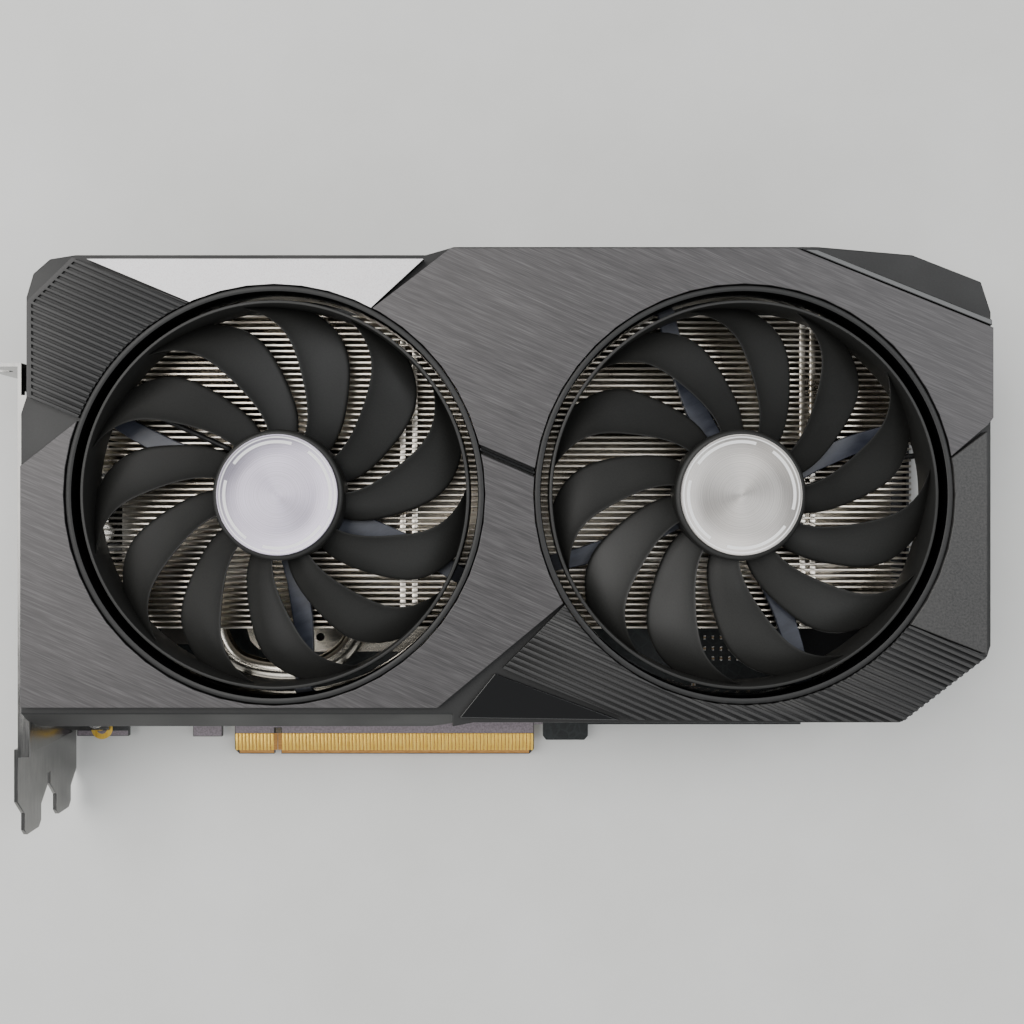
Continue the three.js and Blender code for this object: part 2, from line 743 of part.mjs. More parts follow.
// Leads run beside a strut, past the end of the fins and down to a header on the board.
const leadZ = frameLow + 1.2;
const boardLead = boardFace + 3.2;
const middleReach = openingRadius * 0.6;
add('left_fan_lead', fanLead([
  besideStrut(leftFan, leftStruts[0], hubRadius + 1.2, -4.7, leadZ),
  besideStrut(leftFan, leftStruts[0], middleReach, -4.6, leadZ),
  besideStrut(leftFan, leftStruts[0], openingRadius - 4.5, -4.5, leadZ),
  besideStrut(leftFan, leftStruts[0], openingRadius + 6.5, -5, leadZ),
  [finLeft - 3.4, 30.4, leadZ - 6],
  [finLeft - 3.6, 34, boardLead + 8],
  [finLeft - 3.4, 39, boardLead + 1.2],
  [finLeft - 2, 43.5, boardLead],
]), 'rubber');
add('right_fan_lead', fanLead([
  besideStrut(rightFan, rightStruts[0], hubRadius + 0.8, -4.5, leadZ),
  besideStrut(rightFan, rightStruts[0], middleReach, -4.5, leadZ),
  besideStrut(rightFan, rightStruts[0], openingRadius - 7.2, -5.2, leadZ),
  besideStrut(rightFan, rightStruts[0], openingRadius - 0.2, -6.9, leadZ),
  [finRight + 4.6, 12, leadZ - 6],
  [finRight + 3, 16, boardLead + 8],
  [finRight - 4, 19, boardLead + 0.6],
  [finRight - 22, 21, boardLead],
]), 'rubber');

// Cooler

// Upright fins run along the card, stacked in Y on a common base.
function finStack() {
  const outline = [[finLow, finBase], [finHigh, finBase], [finHigh, finBase + finBaseThickness]];
  const count = Math.floor((finHigh - finLow - finThickness) / finPitch);
  for (let i = count; i >= 0; i -= 1) {
    const y = finLow + i * finPitch;
    outline.push([y + finThickness, finBase + finBaseThickness]);
    outline.push([y + finThickness, finTop]);
    outline.push([y, finTop]);
    if (i > 0) outline.push([y, finBase + finBaseThickness]);
  }
  return prismX(points(outline), finLeft, finRight);
}

add('fin_stack', finStack(), 'fin');

const halfCold = coldPlateSize / 2;
add('cold_plate', block(
  gpuX - halfCold,
  gpuX + halfCold,
  -halfCold,
  halfCold,
  coldPlateLow,
  coldPlateLow + coldPlateThickness,
), 'nickel');

// Heatpipes lie on the cold plate, under the fins; the lowest one turns back outside them.
const pipeSpacing = 2 * pipeRadius + 4;
for (let i = 0; i < 3; i += 1) {
  const y = (i - 0.5) * pipeSpacing;
  const route = [
    [finLeft + 4, y * 1.3, pipeZ],
    [finLeft + 34, y * 1.3, pipeZ],
    [gpuX - halfCold, y, pipeZ],
    [gpuX + halfCold, y, pipeZ],
    [gpuX + halfCold + 30, y * 1.3, pipeZ],
    [finRight - 6, y * 1.3, pipeZ],
  ];
  add(`heatpipe_${i + 1}`, tube(route, pipeRadius, 14, 10), 'nickel');
}
const turnX = gpuX - 50.3; // where the turned pipe leaves the fins
const turnY = finLow - 13;
add('heatpipe_turned', tube([
  [turnX, -16, pipeZ],
  [turnX, finLow + 4, pipeZ],
  [turnX + 0.6, finLow - 3, pipeZ],
  [turnX + 4.6, turnY + 3, pipeZ],
  [turnX + 13, turnY, pipeZ],
  [turnX + 26, turnY, pipeZ],
  [turnX + 35, turnY + 4.6, pipeZ],
  [gpuX - 9.6, finLow + 4, pipeZ],
  [gpuX - 8, -16.5, pipeZ],
], pipeRadius, 22, 10), 'nickel');

function screwPlaces() {
  const half = screwSpacing / 2;
  return [[-half, -half], [half, -half], [half, half], [-half, half]].map(
    ([x, y]) => new THREE.Vector2(gpuX + x, y),
  );
}

const springShank = 1.3;
const mountThickness = 1.2; // sheet of the cooler's mounting frame

// Nickel-plated frame round the cold plate, which the spring screws pull towards the board.
function coolerFrame() {
  const half = frameSize / 2;
  const low = coldPlateLow;
  const high = coldPlateLow + mountThickness;
  const plate = prism(shifted(roundedBox(frameSize, frameSize, 6), gpuX, 0), low, high);
  const window = half - halfCold > 4 ? halfCold + 0.6 : half - 4;
  const opening = block(gpuX - window, gpuX + window, -window, window, low - 1, high + 1);
  const holes = screwPlaces().map((place) => disc(place, springShank + gap, low - 1, high + 1, 10));
  const bosses = [-22.7, 22.7].map((x) => new THREE.Vector2(gpuX + x, -half + 4));
  const bossHoles = bosses.map((place) => disc(place, 1.2, low - 1, high + 1, 12));
  return cut(plate, [opening, ...holes, ...bossHoles]);
}

add('cooler_frame', coolerFrame(), 'nickel');

const retentionLow = boardBack - gap - 1.1;

// Cross-shaped spring plate behind the board.
function retentionCross() {
  const reach = screwSpacing / Math.SQRT2 + 4.5;
  const arms = [45, 135].map((degrees) => {
    const bar = prism(roundedBox(2 * reach, 9, 3.5), retentionLow, boardBack - gap);
    return bar.rotate([0, 0, degrees]);
  });
  const boss = disc(origin, 11, retentionLow, boardBack - gap, 24);
  const cross = join([...arms, boss]).translate([gpuX, 0, 0]);
  return cut(cross, screwPlaces().map((place) => disc(place, springShank + gap, -1, boardFace, 10)));
}

add('retention_cross', retentionCross(), 'steel');

screwPlaces().forEach((place, i) => {
  const head = disc(place, 3, retentionLow - gap - 1, retentionLow - gap, 16);
  const shank = disc(place, springShank, retentionLow - gap - 0.5, coldPlateLow + mountThickness, 10);
  const cross = [0, 90].map((turn) => block(-1.7, 1.7, -0.35, 0.35, -1, retentionLow - gap - 0.55)
    .rotate([0, 0, turn])
    .translate([place.x, place.y, 0]));
  add(`spring_screw_${i + 1}`, cut(head.add(shank), cross), 'steel');
});

// Circuit board

const boardScrews = [
  new THREE.Vector2(boardLeft + 6, boardBottom + 2.05),
  new THREE.Vector2(boardLeft + 6, bracketTabY - 4.7),
];
const backScrews = [
  new THREE.Vector2(boardLeft + 14, boardTop - 4),
  new THREE.Vector2(boardRight - 4, boardBottom + 14.55),
  new THREE.Vector2(boardRight - 6, boardTop - 20),
];
const screwHole = 1.7;
const tongueRight = tongueLeft + tongueLength;
const tongueLow = boardBottom - tongueDepth;

function boardOutline() {
  const chamfer = 1.3;
  const key = tongueLeft + keyOffset;
  return points([
    [boardLeft, boardBottom - 3.25],
    [boardLeft + 14.55, boardBottom - 3.25],
    [boardLeft + 14.55, boardBottom + 2],
    [tongueLeft - 11.8, boardBottom + 2],
    [tongueLeft - 11.8, boardBottom - 3.4],
    [tongueLeft - 3.6, boardBottom - 3.4],
    [tongueLeft - 3.6, boardBottom + 2],
    [tongueLeft, boardBottom + 2],
    [tongueLeft, tongueLow + chamfer],
    [tongueLeft + chamfer, tongueLow],
    [key - keyWidth / 2, tongueLow],
    [key - keyWidth / 2, boardBottom - 1],
    [key + keyWidth / 2, boardBottom - 1],
    [key + keyWidth / 2, tongueLow],
    [tongueRight - chamfer, tongueLow],
    [tongueRight, tongueLow + chamfer],
    [tongueRight, boardBottom + 2],
    [tongueRight + 2.5, boardBottom + 2],
    [tongueRight + 2.5, boardBottom - 3.2],
    [tongueRight + 3.4, boardBottom - 4.35],
    [tongueRight + 14.2, boardBottom - 4.35],
    [tongueRight + 15.2, boardBottom - 3.2],
    [tongueRight + 15.2, boardBottom],
    [boardRight, boardBottom],
    [boardRight, boardTop],
    [boardLeft, boardTop],
  ]);
}

function circuitBoard() {
  const board = prism(boardOutline(), boardBack, boardFace);
  const holes = [...boardScrews, ...backScrews, ...screwPlaces()];
  return cut(board, holes.map((place) => disc(place, screwHole, boardBack - 1, boardFace + 1, 16)));
}

add('circuit_board', circuitBoard(), 'board');

// Processor package with its raised die, and the memory round it.
const packageLow = boardFace + gap;
const substrate = block(
  gpuX - packageSize / 2,
  gpuX + packageSize / 2,
  -packageSize / 2,
  packageSize / 2,
  packageLow,
  packageLow + 1.1,
);
const die = block(gpuX - 9, gpuX + 9, -11, 11, packageLow + 1, coldPlateLow - gap);
add('processor_package', substrate.add(die), 'chip');

const memoryPlaces = [
  [gpuX + 32, -16],
  [gpuX + 32, 0],
  [gpuX + 32, 16],
  [gpuX - 16, 34],
  [gpuX, 34],
  [gpuX + 16, 34],
];
memoryPlaces.forEach(([x, y], i) => {
  const chip = block(x - 6, x + 6, y - 7, y + 7, packageLow, packageLow + 1.1);
  add(`memory_chip_${i + 1}`, chip, 'chip');
});

// Eight-way power socket on the top edge, opening upwards.
function powerSocket() {
  const wayPitch = 4.2;
  const way = 3.5;
  const low = boardFace + gap;
  const face = bodyTop - shellWall - 1;
  const depth = 13;
  const half = powerWidth / 2;
  const body = block(powerX - half, powerX + half, face - depth, face, low, low + powerHeight);
  const holes = [];
  for (let row = 0; row < 2; row += 1) {
    for (let i = 0; i < 4; i += 1) {
      const x = powerX + (i - 1.5) * wayPitch;
      const z = low + powerHeight / 2 + (row - 0.5) * wayPitch;
      holes.push(block(x - way / 2, x + way / 2, face - 9, face + 1, z - way / 2, z + way / 2));
    }
  }
  const top = low + powerHeight;
  const clip = block(powerX - 2, powerX + 2, face - 6, face, top - 0.1, top + 1.6);
  return cut(body, holes).add(clip);
}

add('power_socket', powerSocket(), 'rubber');

// Display sockets

const socketBack = 12.5; // depth of a socket behind the bracket
const socketFront = bracketFace + 0.3;
const socketZ = boardFace + gap + 3.2;

function socketShell(y, outline, tongueWidth) {
  const place = shifted(outline, y, socketZ);
  const outer = prismX(place, socketFront, socketFront + socketBack);
  const inner = prismX(offset(place, -0.6), socketFront - 1, socketFront + 9);
  const half = tongueWidth / 2;
  const tongue = block(
    socketFront + 1.2,
    socketFront + 9.2,
    y - half,
    y + half,
    socketZ - 0.5,
    socketZ + 0.5,
  );
  return outer.subtract(inner).add(tongue);
}

const hdmiOutline = points([
  [-6, -2.9], [6, -2.9], [7.6, -1.2], [7.6, 2.9], [-7.6, 2.9], [-7.6, -1.2],
]);
const displayPortOutline = points([
  [-8.1, -2.5], [8.1, -2.5], [8.1, 2.5], [-6.4, 2.5], [-8.1, 0.9],
]);
const hdmiY = jogY + 24;
const displayPortY = [jogY + 42.5, jogY + 62, jogY + 81.5];
add('hdmi_socket', socketShell(hdmiY, hdmiOutline, 11), 'steel');
displayPortY.forEach((y, i) => {
  add(`display_port_${i + 1}`, socketShell(y, displayPortOutline, 12), 'steel');
});

// Two-slot bracket

function bracketFootOutline(low) {
  const shoulder = bracketFoot + 9.7;
  const taper = bracketFoot + 5.7;
  const centre = low + footWidth / 2;
  return points([
    [jogY + 2, low - boardToSlot],
    [jogY + 2, low - boardToSlot + slotWidth],
    [shoulder, low - boardToSlot + slotWidth],
    [taper, centre + footWidth / 2],
    [bracketFoot + 1.5, centre + footWidth / 2],
    [bracketFoot, centre + footWidth / 2 - 1.5],
    [bracketFoot, centre - footWidth / 2 + 1.5],
    [bracketFoot + 1.5, centre - footWidth / 2],
    [taper, centre - footWidth / 2],
    [shoulder, low - boardToSlot],
  ]).reverse();
}

function slotBracket() {
  const inner = bracketFace + bracketThickness;
  const parts = [block(bracketFace, inner, jogY, bracketTabY, bracketLow, bracketHigh)];
  for (let i = 0; i < 2; i += 1) {
    const foot = bracketFootOutline(boardFace + i * slotPitch);
    parts.push(prismX(foot, bracketFace - bracketThickness, bracketFace + 0.1));
  }
  const jogFace = bracketFace - bracketThickness;
  parts.push(block(jogFace, bracketFace + 0.1, jogY - 8, jogY + 2, bracketLow, bracketHigh));
  const tabTop = bracketTabY;
  parts.push(block(
    bracketFace - bracketTabReach,
    inner,
    tabTop - bracketThickness,
    tabTop,
    bracketLow,
    bracketHigh,
  ));
  const lipLow = bracketHigh - bracketThickness;
  parts.push(block(inner - 0.1, inner + 2, jogY + 0.1, jogY + 14.5, lipLow, bracketHigh));
  parts.push(block(inner - 0.1, inner + 2, tabTop - 25.7, tabTop - 8.1, lipLow, bracketHigh));
  const tools = [];
  for (let i = 0; i < 2; i += 1) {
    const z = boardFace + 5.1 + i * slotPitch;
    const notch = block(bracketFace - 14, bracketFace - 7.5, tabTop - 3, tabTop + 1, z - 2.2, z + 2.2);
    tools.push(notch);
    const round = new THREE.CylinderGeometry(2.2, 2.2, 4, 16);
    tools.push(toSolid(round.translate(bracketFace - 7.5, tabTop - 1, z)));
  }
  tools.push(prismX(shifted(offset(hdmiOutline, gap), hdmiY, socketZ), bracketFace - 1, inner + 1));
  for (const y of displayPortY) {
    tools.push(prismX(shifted(offset(displayPortOutline, gap), y, socketZ), bracketFace - 1, inner + 1));
  }
  const ventLow = boardFace + slotPitch - 3;
  for (let row = 0; row < 2; row += 1) {
    for (let y = jogY + 16; y < tabTop - 7.3; y += 6) {
      const z = ventLow + row * 8.4;
      tools.push(block(bracketFace - 1, inner + 1, y, y + 4.4, z, z + 6.6));
    }
  }
  const ears = boardScrews.map((place) => {
    const half = 3.4;
    const low = boardFace + gap;
    const ear = block(
      inner - 0.1,
      place.x + half,
      place.y - half,
      place.y + half,
      low,
      low + bracketThickness,
    );
    return ear.subtract(disc(place, screwHole, boardFace - 1, boardFace + 3, 16));
  });
  return join([cut(join(parts), tools), ...ears]);
}

add('slot_bracket', slotBracket(), 'steel');

boardScrews.forEach((place, i) => {
  const seat = boardFace + gap + bracketThickness + gap;
  const head = disc(place, 2.7, seat, seat + 1.4, 16);
  const shank = disc(place, 1.3, boardBack - 0.1, seat + 0.5, 10);
  const cross = [0, 90].map((turn) => block(-1.6, 1.6, -0.35, 0.35, seat + 0.7, seat + 3)
    .rotate([0, 0, turn])
    .translate([place.x, place.y, 0]));
  add(`bracket_screw_${i + 1}`, cut(head.add(shank), cross), 'steel');
});

// Backplate

const backLeft = boardLeft + 3.5;
const backRight = bodyRight - 5;

function backplate() {
  const outline = points([
    [backLeft, boardBottom + 6],
    [backRight - 20, boardBottom + 6],
    [backRight, boardBottom + 20],
    [backRight, bodyTop - 14],
    [backRight - 16, bodyTop - 4],
    [backLeft, bodyTop - 4],
  ]);
  const flangeTop = boardBack - gap;
  const tray = prism(outline, 0, flangeTop);
  const hollow = prism(offset(outline, -backplateFlange), backplateThickness, flangeTop + 1);
  const windowSize = screwSpacing + 16;
  const window = prism(shifted(roundedBox(windowSize, windowSize, 5), gpuX, 0), -1, flangeTop + 1);
  const holes = backScrews.map((place) => disc(place, 1.7, -1, flangeTop + 1, 16));
  const posts = backScrews.map((place) => disc(place, 3.2, backplateThickness - 0.1, flangeTop, 16));
  const slots = [];
  const slotLength = 58;
  for (let i = 0; i < 7; i += 1) {
    const slot = block(-slotLength / 2, slotLength / 2, -1.6, 1.6, -1, backplateThickness + 1);
    const turned = slot.rotate([0, 0, THREE.MathUtils.radToDeg(ribAngle) + 90]);
    slots.push(turned.translate([boardRight - 6 + i * 5.4 + 2, -6 + i * 1.2, 0]));
  }
  const inside = prism(offset(outline, -5), -2, backplateThickness + 2);
  const clearOfBoard = block(boardRight + 2, backRight, bodyBottom, bodyTop, -2, backplateThickness + 2);
  const vents = join(slots).intersect(inside).intersect(clearOfBoard);
  const plate = cut(tray, [hollow, window]);
  return cut(plate.add(join(posts)), [...holes, vents]);
}

add('backplate', backplate(), 'moulded');

backScrews.forEach((place, i) => {
  const headHigh = 0.9;
  const shank = disc(place, 1.3, 0.05, boardFace + 1.5, 16);
  const nut = ring(place, 2.6, 1.3 - 0.05, boardFace + gap, boardFace + 1.5, 6);
  const slot = [0, 90].map((turn) => block(-1, 1, -0.25, 0.25, -1, headHigh - 0.3)
    .rotate([0, 0, turn])
    .translate([place.x, place.y, 0]));
  add(`backplate_screw_${i + 1}`, cut(shank.add(nut), slot), 'steel');
});

// The origin of the finished part is the middle of its footprint, at the backplate's outer face.
const left = bracketFace - bracketTabReach;
card.position.set(-(left + bodyRight) / 2, -(bracketFoot + bodyTop) / 2, 0);

export default card;
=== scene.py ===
import json
import math
import bpy
import bmesh
import numpy as np
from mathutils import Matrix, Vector


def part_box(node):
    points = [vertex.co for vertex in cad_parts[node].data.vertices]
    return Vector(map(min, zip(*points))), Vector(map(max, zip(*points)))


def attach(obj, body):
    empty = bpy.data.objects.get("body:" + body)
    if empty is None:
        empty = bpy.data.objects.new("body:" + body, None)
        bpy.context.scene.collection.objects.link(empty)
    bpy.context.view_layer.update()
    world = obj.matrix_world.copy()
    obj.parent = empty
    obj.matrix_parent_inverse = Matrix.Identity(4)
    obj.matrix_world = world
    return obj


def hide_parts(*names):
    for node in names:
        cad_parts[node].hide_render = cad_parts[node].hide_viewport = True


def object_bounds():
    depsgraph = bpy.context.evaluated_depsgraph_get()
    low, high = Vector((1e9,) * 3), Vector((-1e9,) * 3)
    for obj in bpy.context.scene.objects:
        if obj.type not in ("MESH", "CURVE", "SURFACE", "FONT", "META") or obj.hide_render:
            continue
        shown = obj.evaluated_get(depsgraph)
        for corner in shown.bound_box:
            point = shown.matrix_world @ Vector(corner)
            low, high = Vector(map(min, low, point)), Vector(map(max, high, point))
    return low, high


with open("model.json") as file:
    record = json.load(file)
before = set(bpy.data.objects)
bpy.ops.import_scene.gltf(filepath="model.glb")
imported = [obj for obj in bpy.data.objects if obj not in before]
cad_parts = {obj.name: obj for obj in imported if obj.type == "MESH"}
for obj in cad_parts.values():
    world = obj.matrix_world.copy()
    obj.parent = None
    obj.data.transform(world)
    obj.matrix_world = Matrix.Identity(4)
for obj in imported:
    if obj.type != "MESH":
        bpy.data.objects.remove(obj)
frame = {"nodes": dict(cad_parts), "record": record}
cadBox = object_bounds()
print("frame loaded:", len(frame["nodes"]), "nodes")

mm = 0.001
cadLow, cadHigh = [Vector(corner) for corner in cadBox]


def centreOf(node):
    low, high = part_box(node)
    return (Vector(low) + Vector(high)) / 2


fanCentre = {side: centreOf(side + "_fan_bush") for side in ("left", "right")}
midFans = (fanCentre["left"] + fanCentre["right"]) / 2
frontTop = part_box("silver_trim_plate")[1].z
brushAngle = -math.atan2(7.15, 16.6)  # one slant runs through brushing, ribs and groove


# A place from the middle between the fans, in millimetres, z from the backplate's face.
def onCard(x, y, z):
    return Vector((midFans.x + x * mm, midFans.y + y * mm, z * mm))


view = {
    "height": 327.8,  # mm above the backplate's outer face
    "aside": (0.65, -4.2),  # mm from the middle between the fans
    "lens": 40.32,
    "sensor": 36.0,
}


def addCamera():
    data = bpy.data.cameras.new("camera")
    data.lens = view["lens"]
    data.sensor_width = view["sensor"]
    data.clip_start = 0.01
    camera = bpy.data.objects.new("camera", data)
    camera.location = onCard(*view["aside"], view["height"])
    bpy.context.scene.collection.objects.link(camera)
    bpy.context.scene.camera = camera


def addLight(name, place, aim, size, power, colour=(1, 1, 1), sizeY=None):
    data = bpy.data.lights.new(name, "AREA")
    data.shape = "RECTANGLE"
    data.size = size
    data.size_y = sizeY or size
    data.energy = power
    data.color = colour
    light = bpy.data.objects.new(name, data)
    light.location = place
    direction = Vector(aim) - Vector(place)
    light.rotation_euler = direction.to_track_quat("-Z", "Y").to_euler()
    bpy.context.scene.collection.objects.link(light)


# sRGB hex to linear: c/12.92 below 0.04045, else ((c + 0.055)/1.055)^2.4.
def toLinear(hexText):
    values = [int(hexText[i:i + 2], 16) / 255 for i in (1, 3, 5)]
    return [v / 12.92 if v <= 0.04045 else ((v + 0.055) / 1.055) ** 2.4 for v in values] + [1.0]


# One shader node: settings are its own properties, inputs are values or sockets to link.
def addNode(tree, kind, inputs=None, **settings):
    made = tree.nodes.new("ShaderNode" + kind)
    for key, value in settings.items():
        setattr(made, key, value)
    for key, value in (inputs or {}).items():
        if isinstance(value, bpy.types.NodeSocket):
            tree.links.new(value, made.inputs[key])
        else:
            made.inputs[key].default_value = value
    return made


# A principled material; further sockets are given by their names with _ for spaces.
def newMaterial(name, colour, roughness, metallic=0.0, **sockets):
    material = bpy.data.materials.new(name)
    material.use_nodes = True
    tree = material.node_tree
    shader = tree.nodes["Principled BSDF"]
    shader.inputs["Base Color"].default_value = toLinear(colour)
    shader.inputs["Roughness"].default_value = roughness
    shader.inputs["Metallic"].default_value = metallic
    for key, value in sockets.items():
        shader.inputs[key.replace("_", " ")].default_value = value
    place = addNode(tree, "TexCoord").outputs["Object"]
    return material, tree, shader, place


# Noise whose lumps are size mm across, longer along an axis by stretch, turned about Z.
def grain(tree, place, size, stretch=(1, 1, 1), turn=0.0, detail=3.0, rough=0.6):
    scale = [size * mm * s for s in stretch]
    mapping = addNode(tree, "Mapping", {"Vector": place, "Rotation": (0, 0, turn), "Scale": scale},
                      vector_type="TEXTURE")
    return addNode(tree, "TexNoise", {"Vector": mapping.outputs[0], "Scale": 1.0,
                                      "Detail": detail, "Roughness": rough}).outputs["Fac"]


# Colour ramp: stops are (position, hex) pairs.
def ramp(tree, factor, stops):
    made = addNode(tree, "ValToRGB", {"Fac": factor})
    band = made.color_ramp
    while len(band.elements) < len(stops):
        band.elements.new(0.5)
    for element, (position, colour) in zip(band.elements, stops):
        element.position = position
        element.color = toLinear(colour)
    return made.outputs["Color"]


# Maps a noise value straight onto the range low to high.
def spread(tree, factor, low, high, fromLow=0.3, fromHigh=0.7):
    return addNode(tree, "MapRange", {"Value": factor, "From Min": fromLow, "From Max": fromHigh,
                                      "To Min": low, "To Max": high}).outputs[0]


# Relief of depth mm from a 0 to 1 height.
def bump(tree, shader, height, depth, strength=1.0, under=None):
    inputs = {"Height": height, "Distance": depth * mm, "Strength": strength}
    if under is not None:
        inputs["Normal"] = under
    normal = addNode(tree, "Bump", inputs).outputs[0]
    tree.links.new(normal, shader.inputs["Normal"])
    return normal


def wire(tree, source, shader, socket):
    tree.links.new(source, shader.inputs[socket])


def addStage():
    half = 1.5
    mesh = bpy.data.meshes.new("floor")
    corners = [(-half, -half, 0), (half, -half, 0), (half, half, 0), (-half, half, 0)]
    mesh.from_pydata([(x, y, cadLow.z - 0.0002) for x, y, z in corners], [], [(0, 1, 2, 3)])
    floor = bpy.data.objects.new("floor", mesh)
    bpy.context.scene.collection.objects.link(floor)
    material, tree, shader, place = newMaterial("matteFloorPaint", "#e4e4e1", 0.75)
    tone = grain(tree, place, 60, detail=4)
    wire(tree, ramp(tree, tone, [(0.3, "#dfdfdc"), (0.7, "#e8e8e6")]), shader, "Base Color")
    mesh.materials.append(material)


def addLights():
    aim = onCard(0, 0, 20)
    addLight("ceilingPanelLeft", (-0.55, 0.35, 1.1), aim, 0.9, 13, (1.0, 0.985, 0.96))
    addLight("ceilingPanelRight", (0.65, 0.25, 1.15), aim, 0.7, 6, (0.97, 0.985, 1.0))
    addLight("frontFill", (-0.1, -0.95, 0.85), aim, 0.7, 2.6, (0.98, 1.0, 0.99))
    addLight("lowSideFill", (-0.9, -0.2, 0.3), aim, 0.4, 1.6)
    world = bpy.data.worlds.new("paleRoom")
    world.use_nodes = True
    backdrop = world.node_tree.nodes["Background"]
    backdrop.inputs["Color"].default_value = toLinear("#eef0f2")
    backdrop.inputs["Strength"].default_value = 0.42
    bpy.context.scene.world = world


addCamera()
addStage()
addLights()
print("camera, floor and lights done")


def brushedLacquer():
    # Dark grey film lacquer over brushed ABS: brushed along one slant, so it gives long fine
    # streaks, lighter and darker, and a soft sheen across them.
    material, tree, shader, place = newMaterial("brushedLacquer", "#5c5b5f", 0.42, 0.55)
    # Real brush lines are about 0.05 mm wide; they are drawn at 0.2 to 0.4 mm so that they show.
    fine = grain(tree, place, 0.2, (34, 1, 1), brushAngle, 2, 0.5)
    broad = grain(tree, place, 0.42, (42, 1, 1), brushAngle, 3, 0.6)
    patchy = grain(tree, place, 38, (1.6, 1, 1), brushAngle, 2)
    both = addNode(tree, "Math", {0: fine, 1: broad}, operation="ADD").outputs[0]
    half = addNode(tree, "Math", {0: both, 1: 0.5}, operation="MULTIPLY").outputs[0]
    streaks = ramp(tree, half, [(0.34, "#383738"), (0.5, "#4d4b4c"), (0.67, "#676566")])
    worn = ramp(tree, patchy, [(0.3, "#504f50"), (0.7, "#636161")])
    tint = addNode(tree, "Mix", {"Factor": 0.22, 6: streaks, 7: worn}, data_type="RGBA").outputs[2]
    wire(tree, tint, shader, "Base Color")
    wire(tree, spread(tree, half, 0.4, 0.52), shader, "Roughness")
    bump(tree, shader, half, 0.012, 0.35)
    return material


def sandblastedSilver():
    # Aluminium-effect lacquer over a sand-blasted face: pale, with a sparkle at grit size.
    material, tree, shader, place = newMaterial("sandblastedSilver", "#f2eff0", 0.5, 0.12)
    # The grit is about 0.1 mm and is drawn at 0.3 mm so that it shows.
    grit = grain(tree, place, 0.3, detail=2, rough=0.7)
    cloud = grain(tree, place, 9, detail=3)
    speckle = ramp(tree, grit, [(0.32, "#d9d4d6"), (0.5, "#f4f1f2"), (0.66, "#ffffff")])
    wash = ramp(tree, cloud, [(0.3, "#ece8ea"), (0.7, "#fbf9fa")])
    tint = addNode(tree, "Mix", {"Factor": 0.35, 6: speckle, 7: wash}, data_type="RGBA").outputs[2]
    wire(tree, tint, shader, "Base Color")
    wire(tree, spread(tree, grit, 0.4, 0.62), shader, "Roughness")
    bump(tree, shader, grit, 0.04, 0.5)
    return material


def grainedAbs(name, colour, pale, roughness, size=0.35, depth=0.03):
    # Black ABS moulded against a spark-eroded tool: an even, fine leathery grain, slightly silky.
    material, tree, shader, place = newMaterial(name, colour, roughness)
    pebbles = grain(tree, place, size, detail=3, rough=0.65)
    flow = grain(tree, place, 22, detail=2)
    tone = addNode(tree, "Mix", {"Factor": 0.3, 2: pebbles, 3: flow}).outputs[0]
    wire(tree, ramp(tree, tone, [(0.3, colour), (0.72, pale)]), shader, "Base Color")
    wire(tree, spread(tree, flow, roughness - 0.05, roughness + 0.07), shader, "Roughness")
    bump(tree, shader, pebbles, depth, 0.5)
    return material


# The same ABS on a ribbed field: the grooves between the ribs are painted near black as painted shade, and
# the crests are painted paler as painted light.
def ribbedAbs():
    material, tree, shader, place = newMaterial("ribbedAbs", "#232324", 0.46)
    pebbles = grain(tree, place, 0.35, detail=3)
    height = addNode(tree, "SeparateXYZ", {0: place}).outputs[2]
    # Height across the ribs sets the tone: painted shade low in the grooves, painted light high on the
    # crests.
    grooveShadeMask = addNode(tree, "MapRange", {"Value": height, "From Min": frontTop - 0.55 * mm,
                                       "From Max": frontTop - 0.08 * mm}).outputs[0]
    # The near-black tone is painted shade in the grooves; the paler tone is painted light on the crests.
    paintedGrooveShade = ramp(tree, pebbles, [(0.3, "#0c0c0c"), (0.7, "#141414")])
    pale = ramp(tree, pebbles, [(0.3, "#262626"), (0.7, "#393838")])
    tint = addNode(tree, "Mix", {"Factor": grooveShadeMask, 6: paintedGrooveShade, 7: pale}, data_type="RGBA").outputs[2]
    wire(tree, tint, shader, "Base Color")
    wire(tree, spread(tree, pebbles, 0.42, 0.55), shader, "Roughness")
    bump(tree, shader, pebbles, 0.02, 0.4)
    return material


def polishedBlack():
    # Black ABS moulded against a mirror-polished tool: deep gloss with the faintest dust.
    material, tree, shader, place = newMaterial("polishedBlackAbs", "#060607", 0.08, Coat_Weight=0.4,
                                                Coat_Roughness=0.03)
    dust = grain(tree, place, 0.5, detail=4, rough=0.75)
    haze = grain(tree, place, 14, detail=2)
    wire(tree, ramp(tree, dust, [(0.6, "#050506"), (0.85, "#202022")]), shader, "Base Color")
    wire(tree, spread(tree, haze, 0.05, 0.13), shader, "Roughness")
    bump(tree, shader, haze, 0.02, 0.15)
    return material


def platedMetal(name, colour, pale, roughness, turn=0.0, stretch=(1, 1, 1), size=0.5):
    # Bright plate over sheet or tube: nearly a mirror, clouded a little by rolling or drawing.
    material, tree, shader, place = newMaterial(name, colour, roughness, 1.0)
    drawn = grain(tree, place, size, stretch, turn, 3, 0.6)
    cloud = grain(tree, place, 11, detail=3)
    tone = addNode(tree, "Mix", {"Factor": 0.5, 2: drawn, 3: cloud}).outputs[0]
    wire(tree, ramp(tree, tone, [(0.35, colour), (0.65, pale)]), shader, "Base Color")
    wire(tree, spread(tree, tone, roughness - 0.07, roughness + 0.1), shader, "Roughness")
    bump(tree, shader, drawn, 0.01, 0.3)
    return material


